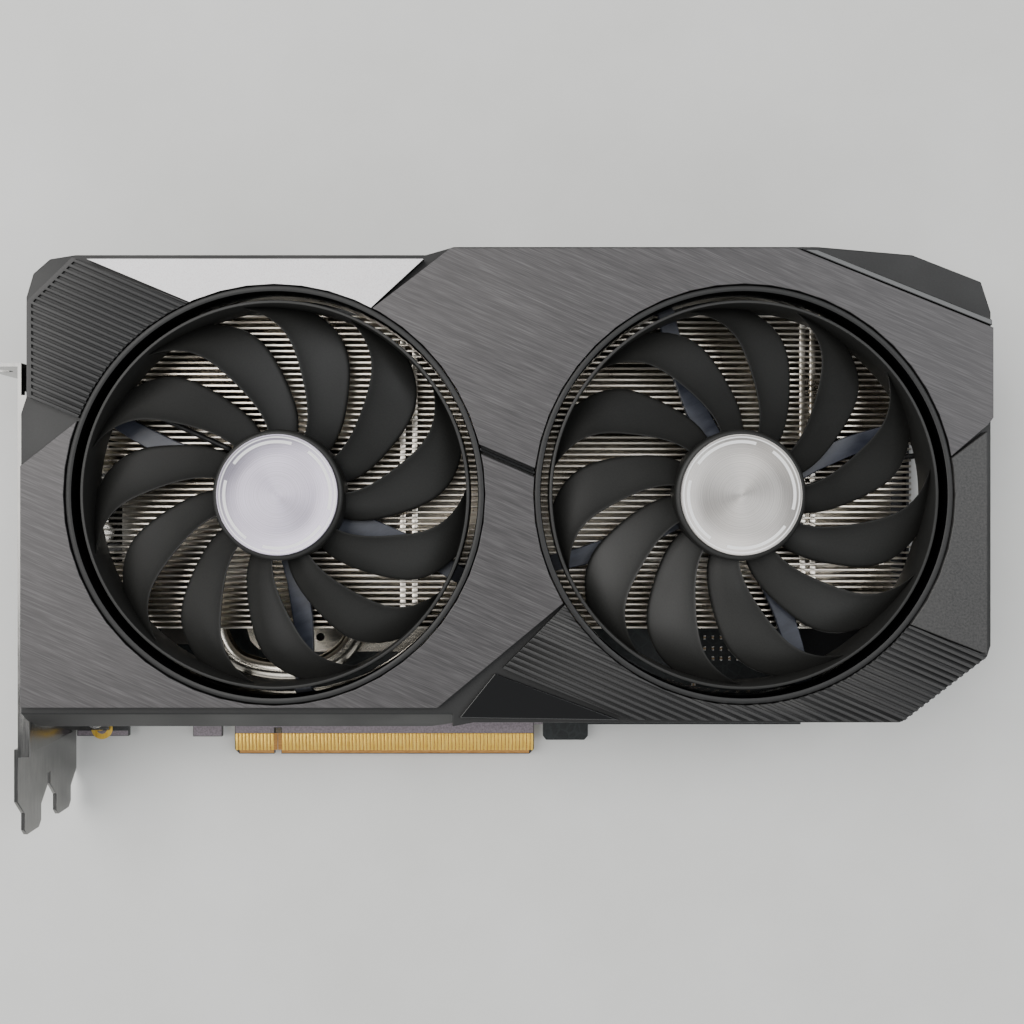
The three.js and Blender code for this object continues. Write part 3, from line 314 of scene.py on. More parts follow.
def finStock():
    # Mill-finish aluminium strip: warm pale metal with rolling streaks along the fin.
    material, tree, shader, place = newMaterial("rolledFinStock", "#cfc7ba", 0.32, 1.0)
    streak = grain(tree, place, 0.5, (30, 1, 1), 0, 3, 0.6)
    smear = grain(tree, place, 13, detail=3)
    tone = addNode(tree, "Mix", {"Factor": 0.5, 2: streak, 3: smear}).outputs[0]
    wire(tree, ramp(tree, tone, [(0.35, "#d6cdbf"), (0.5, "#e9e2d6"), (0.65, "#f8f4ec")]),
         shader, "Base Color")
    wire(tree, spread(tree, smear, 0.24, 0.42), shader, "Roughness")
    bump(tree, shader, streak, 0.02, 0.3)
    return material


def solderMask():
    # Glass-fibre laminate under black solder mask: a dull green-black gloss with raised tracks.
    material, tree, shader, place = newMaterial("blackSolderMask", "#16181a", 0.34)
    scaled = addNode(tree, "Mapping", {"Vector": place, "Scale": (1 / (3.1 * mm),) * 3})
    tracks = addNode(tree, "TexVoronoi", {"Vector": scaled.outputs[0], "Scale": 1.0},
                     feature="DISTANCE_TO_EDGE", distance="CHEBYCHEV").outputs["Distance"]
    fibre = grain(tree, place, 0.5, detail=2)
    lines = ramp(tree, tracks, [(0.03, "#2c3131"), (0.1, "#191c1d")])
    cloud = ramp(tree, fibre, [(0.3, "#121415"), (0.7, "#262a2b")])
    tint = addNode(tree, "Mix", {"Factor": 0.5, 6: lines, 7: cloud}, data_type="RGBA").outputs[2]
    wire(tree, tint, shader, "Base Color")
    wire(tree, spread(tree, fibre, 0.28, 0.42), shader, "Roughness")
    bump(tree, shader, tracks, 0.04, 0.3)
    return material


def tongueMask():
    # The same laminate where the mask lies over bare glass: grey with a violet cast.
    material, tree, shader, place = newMaterial("greySolderMask", "#857b82", 0.4)
    weave = grain(tree, place, 0.45, detail=2)
    wire(tree, ramp(tree, weave, [(0.3, "#756b72"), (0.7, "#978d94")]), shader, "Base Color")
    wire(tree, spread(tree, weave, 0.34, 0.5), shader, "Roughness")
    bump(tree, shader, weave, 0.02, 0.4)
    return material


def hardGold():
    # Hard gold electroplate over nickel: warm and bright, with rubbed lines where it has slid.
    material, tree, shader, place = newMaterial("hardGoldPlate", "#ffd35c", 0.36, 0.8)
    rubbed = grain(tree, place, 0.14, (1, 22, 1), 0, 3, 0.6)
    wire(tree, ramp(tree, rubbed, [(0.3, "#f3bf46"), (0.5, "#ffd25a"), (0.7, "#ffe07c")]),
         shader, "Base Color")
    wire(tree, spread(tree, rubbed, 0.3, 0.42), shader, "Roughness")
    bump(tree, shader, rubbed, 0.008, 0.4)
    return material


def cutEdge():
    # Bevelled edge of the laminate: bare resin and glass, orange-brown and dull.
    material, tree, shader, place = newMaterial("cutLaminateEdge", "#b98440", 0.7)
    fibre = grain(tree, place, 0.25, (6, 1, 1), 0, 3)
    wire(tree, ramp(tree, fibre, [(0.3, "#a06c2e"), (0.7, "#cf9a54")]), shader, "Base Color")
    bump(tree, shader, fibre, 0.03, 0.5)
    return material


def spunLabel(side, colour, pale, dark):
    # Spun aluminium foil under clear lacquer: fine turned rings that throw a streak of light,
    # with a thin printed circle broken in four places and a solid line near the rim.
    material, tree, shader, place = newMaterial(side + "SpunFoil", colour, 0.34, 0.8)
    low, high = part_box(side + "_hub_label")
    centre = (low + high) / 2
    radiusMm = (high.x - low.x) / 2 / mm
    local = addNode(tree, "VectorMath", {0: place, 1: centre}, operation="SUBTRACT").outputs[0]
    parts = addNode(tree, "SeparateXYZ", {0: local})
    flat = addNode(tree, "CombineXYZ", {0: parts.outputs[0], 1: parts.outputs[1], 2: 0.0}).outputs[0]
    length = addNode(tree, "VectorMath", {0: flat}, operation="LENGTH").outputs["Value"]
    radius = addNode(tree, "Math", {0: length, 1: 1 / mm}, operation="MULTIPLY").outputs[0]
    # Turning marks are about 0.05 mm apart and are drawn at 0.15 mm.
    rings = addNode(tree, "TexNoise", {"W": radius, "Scale": 7.0, "Detail": 2.0},
                    noise_dimensions="1D").outputs["Fac"]
    cloud = grain(tree, place, 9, detail=1)
    tone = addNode(tree, "Mix", {"Factor": 0.12, 2: rings, 3: cloud}).outputs[0]
    metal = ramp(tree, tone, [(0.32, dark), (0.5, colour), (0.7, pale)])

    def band(middle, width):
        away = addNode(tree, "Math", {0: radius, 1: middle}, operation="SUBTRACT").outputs[0]
        size = addNode(tree, "Math", {0: away}, operation="ABSOLUTE").outputs[0]
        return addNode(tree, "Math", {0: size, 1: width / 2}, operation="LESS_THAN").outputs[0]

    angle = addNode(tree, "Math", {0: parts.outputs[1], 1: parts.outputs[0]}, operation="ARCTAN2")
    quarter = addNode(tree, "Math", {0: angle.outputs[0], 1: 2.0}, operation="MULTIPLY").outputs[0]
    turned = addNode(tree, "Math", {0: quarter, 1: 0.9}, operation="ADD").outputs[0]
    wave = addNode(tree, "Math", {0: turned}, operation="SINE").outputs[0]
    size = addNode(tree, "Math", {0: wave}, operation="ABSOLUTE").outputs[0]
    broken = addNode(tree, "Math", {0: size, 1: 0.34}, operation="GREATER_THAN").outputs[0]
    inner = addNode(tree, "Math", {0: band(radiusMm - 1.9, 0.75), 1: broken}, operation="MULTIPLY")
    rim = band(radiusMm - 0.75, 0.3)
    printed = addNode(tree, "Math", {0: inner.outputs[0], 1: rim}, operation="MAXIMUM").outputs[0]
    ink = addNode(tree, "Mix", {"Factor": printed, 6: metal, 7: toLinear("#ffffff")},
                  data_type="RGBA").outputs[2]
    wire(tree, ink, shader, "Base Color")
    bare = addNode(tree, "Math", {0: 1.0, 1: printed}, operation="SUBTRACT").outputs[0]
    metalness = addNode(tree, "Math", {0: bare, 1: 0.85}, operation="MULTIPLY").outputs[0]
    wire(tree, metalness, shader, "Metallic")
    # The turning marks run round the hub, so the light is drawn out across them.
    aside = addNode(tree, "VectorMath", {0: (0, 0, 1), 1: flat}, operation="CROSS_PRODUCT").outputs[0]
    tangent = addNode(tree, "VectorMath", {0: aside}, operation="NORMALIZE").outputs[0]
    wire(tree, tangent, shader, "Tangent")
    shader.inputs["Anisotropic"].default_value = 0.75
    wire(tree, spread(tree, rings, 0.3, 0.42), shader, "Roughness")
    bump(tree, shader, rings, 0.01, 0.25)
    return material


def mouldedEpoxy():
    # Black epoxy chip body, moulded and laser-blasted: flat, dusty charcoal.
    material, tree, shader, place = newMaterial("mouldedEpoxy", "#1b1b1d", 0.62)
    dust = grain(tree, place, 0.3, detail=3)
    wire(tree, ramp(tree, dust, [(0.3, "#141416"), (0.7, "#29292c")]), shader, "Base Color")
    bump(tree, shader, dust, 0.02, 0.4)
    return material


def softPvc():
    # Thin PVC sleeve over the fan's wires: black, waxy.
    material, tree, shader, place = newMaterial("softPvcSleeve", "#101011", 0.48)
    ripple = grain(tree, place, 0.8, detail=2)
    wire(tree, ramp(tree, ripple, [(0.3, "#0b0b0c"), (0.7, "#1b1b1d")]), shader, "Base Color")
    bump(tree, shader, ripple, 0.05, 0.4)
    return material


def enamelledWire():
    # Copper wire in clear enamel, wound tight: orange-red ridges a third of a millimetre apart, painted
    # darker in the grooves between turns as painted shade.
    material, tree, shader, place = newMaterial("enamelledWire", "#b0602c", 0.3, 0.9)
    windingRidgesAndShade = addNode(tree, "TexWave", {"Vector": place, "Scale": 480.0, "Distortion": 0.6},
                    bands_direction="Z").outputs["Fac"]
    # The ridges' height also sets the colour: painted shade, dark brown, in the grooves between turns, bright
    # copper on the ridges.
    wire(tree, ramp(tree, windingRidgesAndShade, [(0.1, "#6d3515"), (0.8, "#d38548")]), shader, "Base Color")
    bump(tree, shader, windingRidgesAndShade, 0.12, 0.6)
    return material


def ceramicBody():
    # Fired ceramic of small chip capacitors: tan, slightly speckled.
    material, tree, shader, place = newMaterial("firedCeramic", "#8d7350", 0.5)
    speck = grain(tree, place, 0.2, detail=2)
    wire(tree, ramp(tree, speck, [(0.3, "#755d3e"), (0.7, "#a98c66")]), shader, "Base Color")
    bump(tree, shader, speck, 0.01, 0.3)
    return material


def blueGreyNylon():
    # Glass-filled nylon of the fan frames: blue-grey and smooth, with faint flow lines.
    material, tree, shader, place = newMaterial("blueGreyNylon", "#4b5364", 0.36)
    flow = grain(tree, place, 2.2, (3, 1, 1), 0.4, 3)
    wire(tree, ramp(tree, flow, [(0.3, "#2c2f3a"), (0.7, "#40444f")]), shader, "Base Color")
    wire(tree, spread(tree, flow, 0.3, 0.45), shader, "Roughness")
    bump(tree, shader, flow, 0.02, 0.3)
    return material


def anodisedSheet():
    # Black anodised aluminium sheet, bead-blasted first: satin with a fine even tooth.
    material, tree, shader, place = newMaterial("blackAnodisedSheet", "#1d1d1f", 0.46, 0.4)
    tooth = grain(tree, place, 0.3, detail=2)
    cloud = grain(tree, place, 30, detail=3)
    tone = addNode(tree, "Mix", {"Factor": 0.5, 2: tooth, 3: cloud}).outputs[0]
    wire(tree, ramp(tree, tone, [(0.3, "#161617"), (0.7, "#2b2b2e")]), shader, "Base Color")
    wire(tree, spread(tree, cloud, 0.4, 0.54), shader, "Roughness")
    bump(tree, shader, tooth, 0.02, 0.4)
    return material


look = {
    "brushed": brushedLacquer(),
    "silver": sandblastedSilver(),
    "shroud": grainedAbs("sparkErodedAbs", "#121212", "#202020", 0.5),
    "ribs": ribbedAbs(),
    "tail": grainedAbs("tailPanelAbs", "#242424", "#4c4b4a", 0.5, 0.55, 0.07),
    "blade": grainedAbs("satinFanPbt", "#161615", "#232321", 0.5, 0.4, 0.015),
    "nylon": grainedAbs("blackSocketNylon", "#0f0f10", "#1c1c1e", 0.4, 0.5, 0.02),
    "ferrite": grainedAbs("bondedFerrite", "#2b2926", "#454039", 0.6, 0.3, 0.04),
    "gloss": polishedBlack(),
    "bracket": platedMetal("nickelPlatedSheet", "#6c6c6b", "#8b8a88", 0.18, 0, (1, 30, 1), 0.3),
    "screw": platedMetal("zincPlatedScrew", "#b9b8b8", "#dcdcdb", 0.28),
    "pipe": platedMetal("nickelPlatedPipe", "#c9c1b2", "#e6e0d4", 0.2, 0, (8, 1, 1), 0.4),
    "shell": platedMetal("tinnedSocketShell", "#b3b1ad", "#d2d0cc", 0.25),
    "fins": finStock(),
    "board": solderMask(),
    "tongue": tongueMask(),
    "gold": hardGold(),
    "edge": cutEdge(),
    "chip": mouldedEpoxy(),
    "lead": softPvc(),
    "wire": enamelledWire(),
    "ceramic": ceramicBody(),
    "strut": blueGreyNylon(),
    "cream": grainedAbs("creamNylon", "#cfc6ae", "#e2dac5", 0.5, 0.5, 0.02),
    "back": anodisedSheet(),
    "labelLeft": spunLabel("left", "#b3adbd", "#cdc8d6", "#99939f"),
    "labelRight": spunLabel("right", "#bab6b2", "#d2ceca", "#a09c98"),
}
print("materials done:", len(look))


bodyOf = {node: body for body, nodes in frame["record"]["behaviour"]["bodies"].items() for node in nodes}


# A mesh as a piece that rides on its body and takes its finish from a slot.
def finishPiece(mesh, name, material, body="root", nodes=(), smoothAngle=35):
    mesh.shade_smooth()
    mesh.set_sharp_from_angle(angle=math.radians(smoothAngle))
    if not mesh.materials:
        mesh.materials.append(look[material])
    piece = bpy.data.objects.new(name, mesh)
    bpy.context.scene.collection.objects.link(piece)
    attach(piece, body)
    if nodes:
        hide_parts(*nodes)
    return piece


# The CAD node's own shape: doubles merged, flat faces joined, edges rounded by edge mm.
def softened(node, edge, material, segments=2, angle=30, name=None):
    mesh = frame["nodes"][node].data.copy()
    mesh.materials.clear()
    shape = bmesh.new()
    shape.from_mesh(mesh)
    bmesh.ops.remove_doubles(shape, verts=shape.verts, dist=2e-6)
    bmesh.ops.dissolve_limit(shape, angle_limit=math.radians(0.6), verts=shape.verts,
                             edges=shape.edges)
    shape.to_mesh(mesh)
    shape.free()
    piece = finishPiece(mesh, name or node + "_finish", material, bodyOf[node], [node], 40)
    if edge:
        bevel = piece.modifiers.new("edge", "BEVEL")
        bevel.width = edge * mm
        bevel.segments = segments
        bevel.limit_method = "ANGLE"
        bevel.angle_limit = math.radians(angle)
        bevel.harden_normals = True
        bevel.use_clamp_overlap = True
    return piece


# A CAD tube made smooth: triangles joined to quads, then subdivided.
def rounded(node, material, levels=2):
    mesh = frame["nodes"][node].data.copy()
    mesh.materials.clear()
    shape = bmesh.new()
    shape.from_mesh(mesh)
    bmesh.ops.remove_doubles(shape, verts=shape.verts, dist=2e-6)
    bmesh.ops.join_triangles(shape, faces=shape.faces, angle_face_threshold=0.9,
                             angle_shape_threshold=1.5)
    shape.to_mesh(mesh)
    shape.free()
    piece = finishPiece(mesh, node + "_finish", material, bodyOf[node], [node], 180)
    smooth = piece.modifiers.new("smooth", "SUBSURF")
    smooth.levels = levels
    smooth.render_levels = levels
    return piece


# Quads of a rows by columns grid of points, as an array of vertex numbers.
def gridFaces(rows, columns, closeRows=False, closeColumns=False, start=0):
    r = np.arange(rows if closeRows else rows - 1)
    c = np.arange(columns if closeColumns else columns - 1)
    r, c = np.meshgrid(r, c, indexing="ij")
    r, c = r.ravel(), c.ravel()
    rNext, cNext = (r + 1) % rows, (c + 1) % columns
    quads = np.stack([r * columns + c, rNext * columns + c, rNext * columns + cNext,
                      r * columns + cNext], axis=1)
    return quads + start


class Shape:
    """Points and faces gathered from several surfaces, in millimetres, written out once."""

    def __init__(self):
        self.points, self.faces, self.total = [], [], 0

    def addGrid(self, grid, closeRows=False, closeColumns=False, capEnds=False):
        rows, columns = grid.shape[:2]
        faces = gridFaces(rows, columns, closeRows, closeColumns, self.total)
        self.faces += faces.tolist()
        if capEnds:
            last = self.total + (rows - 1) * columns
            self.faces.append(list(range(self.total, self.total + columns))[::-1])
            self.faces.append(list(range(last, last + columns)))
        self.points.append(grid.reshape(-1, 3))
        self.total += rows * columns

    def mesh(self, name, offset=(0, 0, 0), recalculate=True):
        points = (np.concatenate(self.points) * mm + np.array(offset)).astype(np.float32)
        made = bpy.data.meshes.new(name)
        made.from_pydata(points, [], self.faces)
        if recalculate:
            shape = bmesh.new()
            shape.from_mesh(made)
            bmesh.ops.remove_doubles(shape, verts=shape.verts, dist=1e-7)
            bmesh.ops.recalc_face_normals(shape, faces=shape.faces)
            shape.to_mesh(made)
            shape.free()
        return made


# Turns (radius, z) points about an upright axis: x = r cos a, y = r sin a.
def revolve(profile, steps, centre=(0, 0)):
    profile = np.array(profile, float)
    angle = np.linspace(0, 2 * np.pi, steps, endpoint=False)[:, None]
    x = centre[0] + profile[None, :, 0] * np.cos(angle)
    y = centre[1] + profile[None, :, 0] * np.sin(angle)
    z = np.broadcast_to(profile[None, :, 1], x.shape)
    return np.stack([x, y, z], axis=2)


# Corner-rounded rectangle as a closed loop of (u, v) points, from low to high corner.
def roundedLoop(low, high, radius, steps=4):
    corners = [(high[0] - radius, high[1] - radius, 0), (low[0] + radius, high[1] - radius, 1),
               (low[0] + radius, low[1] + radius, 2), (high[0] - radius, low[1] + radius, 3)]
    turn = np.linspace(0, np.pi / 2, steps)
    arcs = [np.stack([u + radius * np.cos(turn + k * np.pi / 2),
                      v + radius * np.sin(turn + k * np.pi / 2)], axis=1) for u, v, k in corners]
    return np.concatenate(arcs)


# A block whose upright edges are rounded and whose top edge is eased, by rings of its outline.
def roundedBlock(shape, centre, size, radius):
    half = np.array(size[:2]) / 2
    ease = min(radius * 0.6, size[2] * 0.3)
    rings = []
    for inset, z in ((ease, 0), (0, ease), (0, size[2] - ease), (ease * 0.3, size[2] - ease * 0.3),
                     (ease, size[2])):
        loop = roundedLoop(-half + inset, half - inset, max(radius - inset * 0.5, 0.02), 3)
        rings.append(np.column_stack([loop + np.array(centre[:2]), np.full(len(loop), centre[2] + z)]))
    shape.addGrid(np.array(rings), closeColumns=True, capEnds=True)


# A box from its low to its high corner, as a closed ring of two loops.
def addBox(shape, low, high):
    x0, y0, z0 = low
    x1, y1, z1 = high
    loops = [[(x0, y0, z), (x1, y0, z), (x1, y1, z), (x0, y1, z)] for z in (z0, z1)]
    shape.addGrid(np.array(loops, float), closeColumns=True, capEnds=True)


# A bar along X on a closed outline of (y, z) points.
def addBar(shape, outline, left, right):
    outline = np.array(outline, float)
    rows = [np.column_stack([np.full(len(outline), x), outline]) for x in (left, right)]
    shape.addGrid(np.array(rows), closeColumns=True, capEnds=True)


# A round bar of some radius along a smooth path; each ring stands square to the path.
def addTube(shape, path, radius, sides=12):
    path = np.array(path, float)
    ahead = np.gradient(path, axis=0)
    ahead /= np.linalg.norm(ahead, axis=1)[:, None]
    across = np.cross(ahead, [0.0, 0.0, 1.0] if abs(ahead[0][2]) < 0.9 else [1.0, 0.0, 0.0])
    across /= np.linalg.norm(across, axis=1)[:, None]
    upward = np.cross(across, ahead)
    angle = np.linspace(0, 2 * np.pi, sides, endpoint=False)[None, :, None]
    rings = path[:, None, :] + radius * (np.cos(angle) * across[:, None, :]
                                         + np.sin(angle) * upward[:, None, :])
    shape.addGrid(rings, closeColumns=True, capEnds=True)


def heights(node):
    low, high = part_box(node)
    return low.z / mm, high.z / mm


fan = {
    "hubRadius": 16.3,
    "ringWall": 0.9,
    "ringRadius": 47.5,
    "ductWall": 1.5,
    "ductRadius": 49.5,
    "sweep": [(16, 0), (23, 5), (30.8, 11.7), (36.7, 17.1), (42.7, 23.5), (47, 34)],
    "blades": 11,
    "firstBlade": {"left": 2.0, "right": 8.0},
    "thick": 1.0,
}


# A blade as a surface: along u the radius grows from hub to ring, along v the section runs from
# the leading edge over the top and back underneath. At radius r the edge leads by the sweep
# angle, the width falls from 23.5 to 20.5 degrees, and the height falls with chord^0.75.
def bladeGrid(turn, hubTop):
    rows, half = 26, 20
    radius = np.linspace(fan["hubRadius"] - 0.5, fan["ringRadius"] - fan["ringWall"] / 2, rows)
    sweep = np.array(fan["sweep"], float)
    lead = np.polyval(np.polyfit(sweep[:, 0], sweep[:, 1], 4), radius)[:, None]
    share = ((radius - sweep[0, 0]) / (sweep[-1, 0] - sweep[0, 0]))[:, None]
    chord = (1 - np.cos(np.linspace(0, np.pi, half))) / 2
    chord = np.concatenate([chord, chord[::-1]])[None, :]
    side = np.concatenate([np.ones(half), -np.ones(half)])[None, :]
    fromEdge = np.minimum(chord, 1 - chord) / 0.045
    body = np.sqrt(np.clip(1 - (1 - np.clip(fromEdge, 0, 1)) ** 2, 0.0025, 1))
    middle = hubTop - 1.9 + 3.9 * share - (5.4 + 2.6 * share) * chord ** 0.75 - fan["thick"] / 2
    z = middle + side * body * fan["thick"] / 2
    angle = np.radians(turn + lead - (23.5 - 3 * share) * chord)
    r = np.broadcast_to(radius[:, None], angle.shape)
    return np.stack([r * np.cos(angle), r * np.sin(angle), z], axis=2)


def makeRotor(side):
    node = side + "_fan_rotor"
    low, high = heights(node)
    hubTop = heights(side + "_hub_label")[0] - 0.3
    outer, inner = fan["ringRadius"], fan["ringRadius"] - fan["ringWall"]
    hub = fan["hubRadius"]
    shape = Shape()
    rim = [(inner, low + 0.2), (inner + 0.2, low), (outer - 0.2, low), (outer, low + 0.2),
           (outer, high - 0.35), (outer - 0.12, high - 0.1), (outer - 0.4, high),
           (inner + 0.18, high - 0.06), (inner, high - 0.3)]
    shape.addGrid(revolve(rim, 192), closeRows=True, closeColumns=True)
    turn = np.linspace(0, np.pi / 2, 7)
    rounding = [(hub - 1.2 + 1.2 * math.cos(t), hubTop - 1.2 + 1.2 * math.sin(t)) for t in turn]
    cup = [(0, hubTop - 1.3), (hub - 1.3, hubTop - 1.3), (hub - 1.3, low), (hub, low)]
    cup += rounding + [(0, hubTop)]
    shape.addGrid(revolve(cup, 96), closeRows=True)
    for i in range(fan["blades"]):
        turned = fan["firstBlade"][side] + i * 360 / fan["blades"]
        shape.addGrid(bladeGrid(turned, hubTop), closeColumns=True, capEnds=True)
    centre = fanCentre[side]
    mesh = shape.mesh(side + "RotorFine", (centre.x, centre.y, 0))
    finishPiece(mesh, side + "_rotor_moulding", "blade", side + "_rotor", [node], 40)


def makeLabel(side):
    node = side + "_hub_label"
    low, high = heights(node)
    radius = (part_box(node)[1].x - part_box(node)[0].x) / 2 / mm
    profile = [(0, low), (radius - 0.1, low), (radius, low + 0.1), (radius, high - 0.15),
               (radius - 0.12, high - 0.02), (radius - 0.3, high), (radius - 0.55, high - 0.08),
               (radius * 0.6, high - 0.09), (0, high - 0.1)]
    shape = Shape()
    shape.addGrid(revolve(profile, 144), closeRows=True)
    centre = fanCentre[side]
    mesh = shape.mesh(side + "LabelFine", (centre.x, centre.y, 0))
    finishPiece(mesh, side + "_label_foil", "label" + side.title(), side + "_rotor",
                [node], 30)


# The duct is a short pipe with a rolled rim; its bore is polished, the rest is grained.
def makeDuct(side):
    node = side + "_fan_duct"
    low, high = heights(node)
    inner, outer = fan["ductRadius"], fan["ductRadius"] + fan["ductWall"]
    profile = [(inner, low + 0.3), (inner, high - 0.5), (inner + 0.15, high - 0.15),
               (inner + 0.5, high), (outer - 0.4, high), (outer - 0.1, high - 0.12),
               (outer, high - 0.4), (outer, low + 0.2), (outer - 0.2, low), (inner + 0.3, low)]
    shape = Shape()
    shape.addGrid(revolve(profile, 200), closeRows=True, closeColumns=True)
    centre = fanCentre[side]
    mesh = shape.mesh(side + "DuctFine", (centre.x, centre.y, 0))
    mesh.materials.append(look["shroud"])
    mesh.materials.append(look["gloss"])
    middles = np.empty(len(mesh.polygons) * 3)
    mesh.polygons.foreach_get("center", middles)
    away = np.hypot(*(middles.reshape(-1, 3)[:, :2] / mm - np.array([centre.x, centre.y]) / mm).T)
    mesh.polygons.foreach_set("material_index", (away < inner + 0.1).astype(np.int32))
    finishPiece(mesh, side + "_duct_wall", "shroud", "root", [node], 35)


# Copper coils on the four arms of a stator, each a flat pack of windings.
def makeCoils(side):
    low, high = heights(side + "_fan_stator")
    shape = Shape()
    for quarter in range(4):
        angle = quarter * math.pi / 2
        for row in range(5):
            z = low + 0.9 + row * (high - low - 1.8) / 4
            loop = roundedLoop((5.6, -3.1), (9.9, 3.1), 1.2, 4)
            loop = np.vstack([loop, loop[:1]])
            x = loop[:, 0] * math.cos(angle) - loop[:, 1] * math.sin(angle)
            y = loop[:, 0] * math.sin(angle) + loop[:, 1] * math.cos(angle)
            addTube(shape, np.column_stack([x, y, np.full(len(x), z)]), 0.5, 8)
    centre = fanCentre[side]
    mesh = shape.mesh(side + "CoilsFine", (centre.x, centre.y, 0))
    finishPiece(mesh, side + "_motor_coils", "wire", "root", [], 60)


for side in ("left", "right"):
    makeRotor(side)
    makeLabel(side)
    makeDuct(side)
    makeCoils(side)
    softened(side + "_fan_frame", 0.35, "strut", 3)
    softened(side + "_fan_stator", 0.1, "shell")
    softened(side + "_rotor_magnet", 0.15, "ferrite")
    softened(side + "_fan_bush", 0.15, "wire")
    softened(side + "_fan_shaft", 0.15, "screw")
    rounded(side + "_fan_lead", "lead", 1)
print("fans done")


softened("shroud_body", 0.35, "shroud", 3)
# The lacquer is only on a plate's face; its edges and its long lower bevel are bare black ABS.
for node, finish in (("upper_brushed_plate", "brushed"), ("lower_brushed_plate", "brushed"),
                     ("silver_trim_plate", "silver")):
    mesh = softened(node, 0.2, finish, 3).data
    mesh.materials.append(look["shroud"])
    for face in mesh.polygons:
        face.material_index = 0 if face.normal.z > 0.95 else 1
softened("ribbed_corner_panel", 0.09, "ribs", 1, 25)
softened("ribbed_lower_panel", 0.09, "ribs", 1, 25)
softened("tail_side_panel", 0.3, "tail", 3)
softened("gloss_edge_strip", 0.25, "gloss", 3)
softened("gloss_corner_triangle", 0.25, "gloss", 3)
softened("groove_inlay", 0.2, "gloss", 2)
print("shroud and front plates done")


fins = {
    "pitch": 1.48,
    "sheet": 0.3,
    "hem": 0.56,
    "tabs": (-27.4, -24.3, 75.3, 77.9),
    "tabLength": 1.5,
}


# Each fin is a sheet whose top is folded over into a narrow hem; at the tab columns the hem
# reaches on to the next fin and hooks over it.
def makeFins():
    low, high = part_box("fin_stack")
    left, right = low.x / mm, high.x / mm
    back, front = low.y / mm, high.y / mm
    base, top = low.z / mm, high.z / mm
    shape = Shape()
    count = int((front - back - 0.4) / fins["pitch"])
    tabs = [x + midFans.x / mm for x in fins["tabs"]]
    for i in range(count + 1):
        y = back + i * fins["pitch"] + 0.05
        sheet, hem = fins["sheet"], fins["hem"]
        outline = [(y, base), (y + sheet, base), (y + sheet, top - sheet), (y + hem, top - sheet),
                   (y + hem, top - 0.1), (y + hem - 0.1, top), (y + 0.15, top), (y, top - 0.15)]
        addBar(shape, outline, left + 0.1, right - 0.1)
        if i < count:
            for x in tabs:
                roundedBlock(shape, (x, y + fins["pitch"] * 0.62, top - 0.9),
                             (fins["tabLength"], fins["pitch"] * 0.8, 1.1), 0.3)
    addBox(shape, (left, back, base + 0.01), (right, front, base + 0.8))
    mesh = shape.mesh("finsFine")
    finishPiece(mesh, "fin_sheets", "fins", "root", ["fin_stack"], 30)


makeFins()
for i in (1, 2, 3):
    rounded("heatpipe_%d" % i, "pipe")
rounded("heatpipe_turned", "pipe")
softened("cold_plate", 0.2, "pipe")
softened("cooler_frame", 0.25, "pipe", 3)
softened("retention_cross", 0.25, "bracket", 3)
for i in (1, 2, 3, 4):
    softened("spring_screw_%d" % i, 0.12, "screw")
print("cooler done")


softened("circuit_board", 0.08, "board", 1)
softened("processor_package", 0.1, "chip")
for i in range(1, 7):
    softened("memory_chip_%d" % i, 0.12, "chip")
softened("power_socket", 0.2, "nylon")
softened("hdmi_socket", 0.12, "shell")
for i in (1, 2, 3):
    softened("display_port_%d" % i, 0.12, "shell")
for i in (1, 2):
    softened("bracket_screw_%d" % i, 0.15, "screw")
softened("slot_bracket", 0.16, "bracket")
softened("backplate", 0.22, "back", 2)
for i in (1, 2, 3):
    softened("backplate_screw_%d" % i, 0.1, "screw")


board = {
    "face": 4.6,
    "back": 3.03,
    "fingerLow": -71.3,
    "fingerHigh": -66.6,
    "fingerWidth": 0.7,
    "firstFinger": -76.85,
    "shortFingers": 11,
    "secondFinger": -63.75,
    "longFingers": 71,
    "choke": 10.0,
}


# Card places for a Shape: millimetres from the middle between the fans.
def cardOffset():
    return (midFans.x, midFans.y, 0)


def makeFingers():
    shape = Shape()
    starts = [board["firstFinger"] + i for i in range(board["shortFingers"])]
    starts += [board["secondFinger"] + i for i in range(board["longFingers"])]
    middle = (board["fingerLow"] + board["fingerHigh"]) / 2
    length = board["fingerHigh"] - board["fingerLow"]
    for x in starts:
        for z in (board["face"] - 0.02, board["back"] - 0.045):
            roundedBlock(shape, (x, middle, z), (board["fingerWidth"], length, 0.065), 0.12)
    mesh = shape.mesh("fingersFine", cardOffset())
    finishPiece(mesh, "contact_fingers", "gold", "root", [], 30)


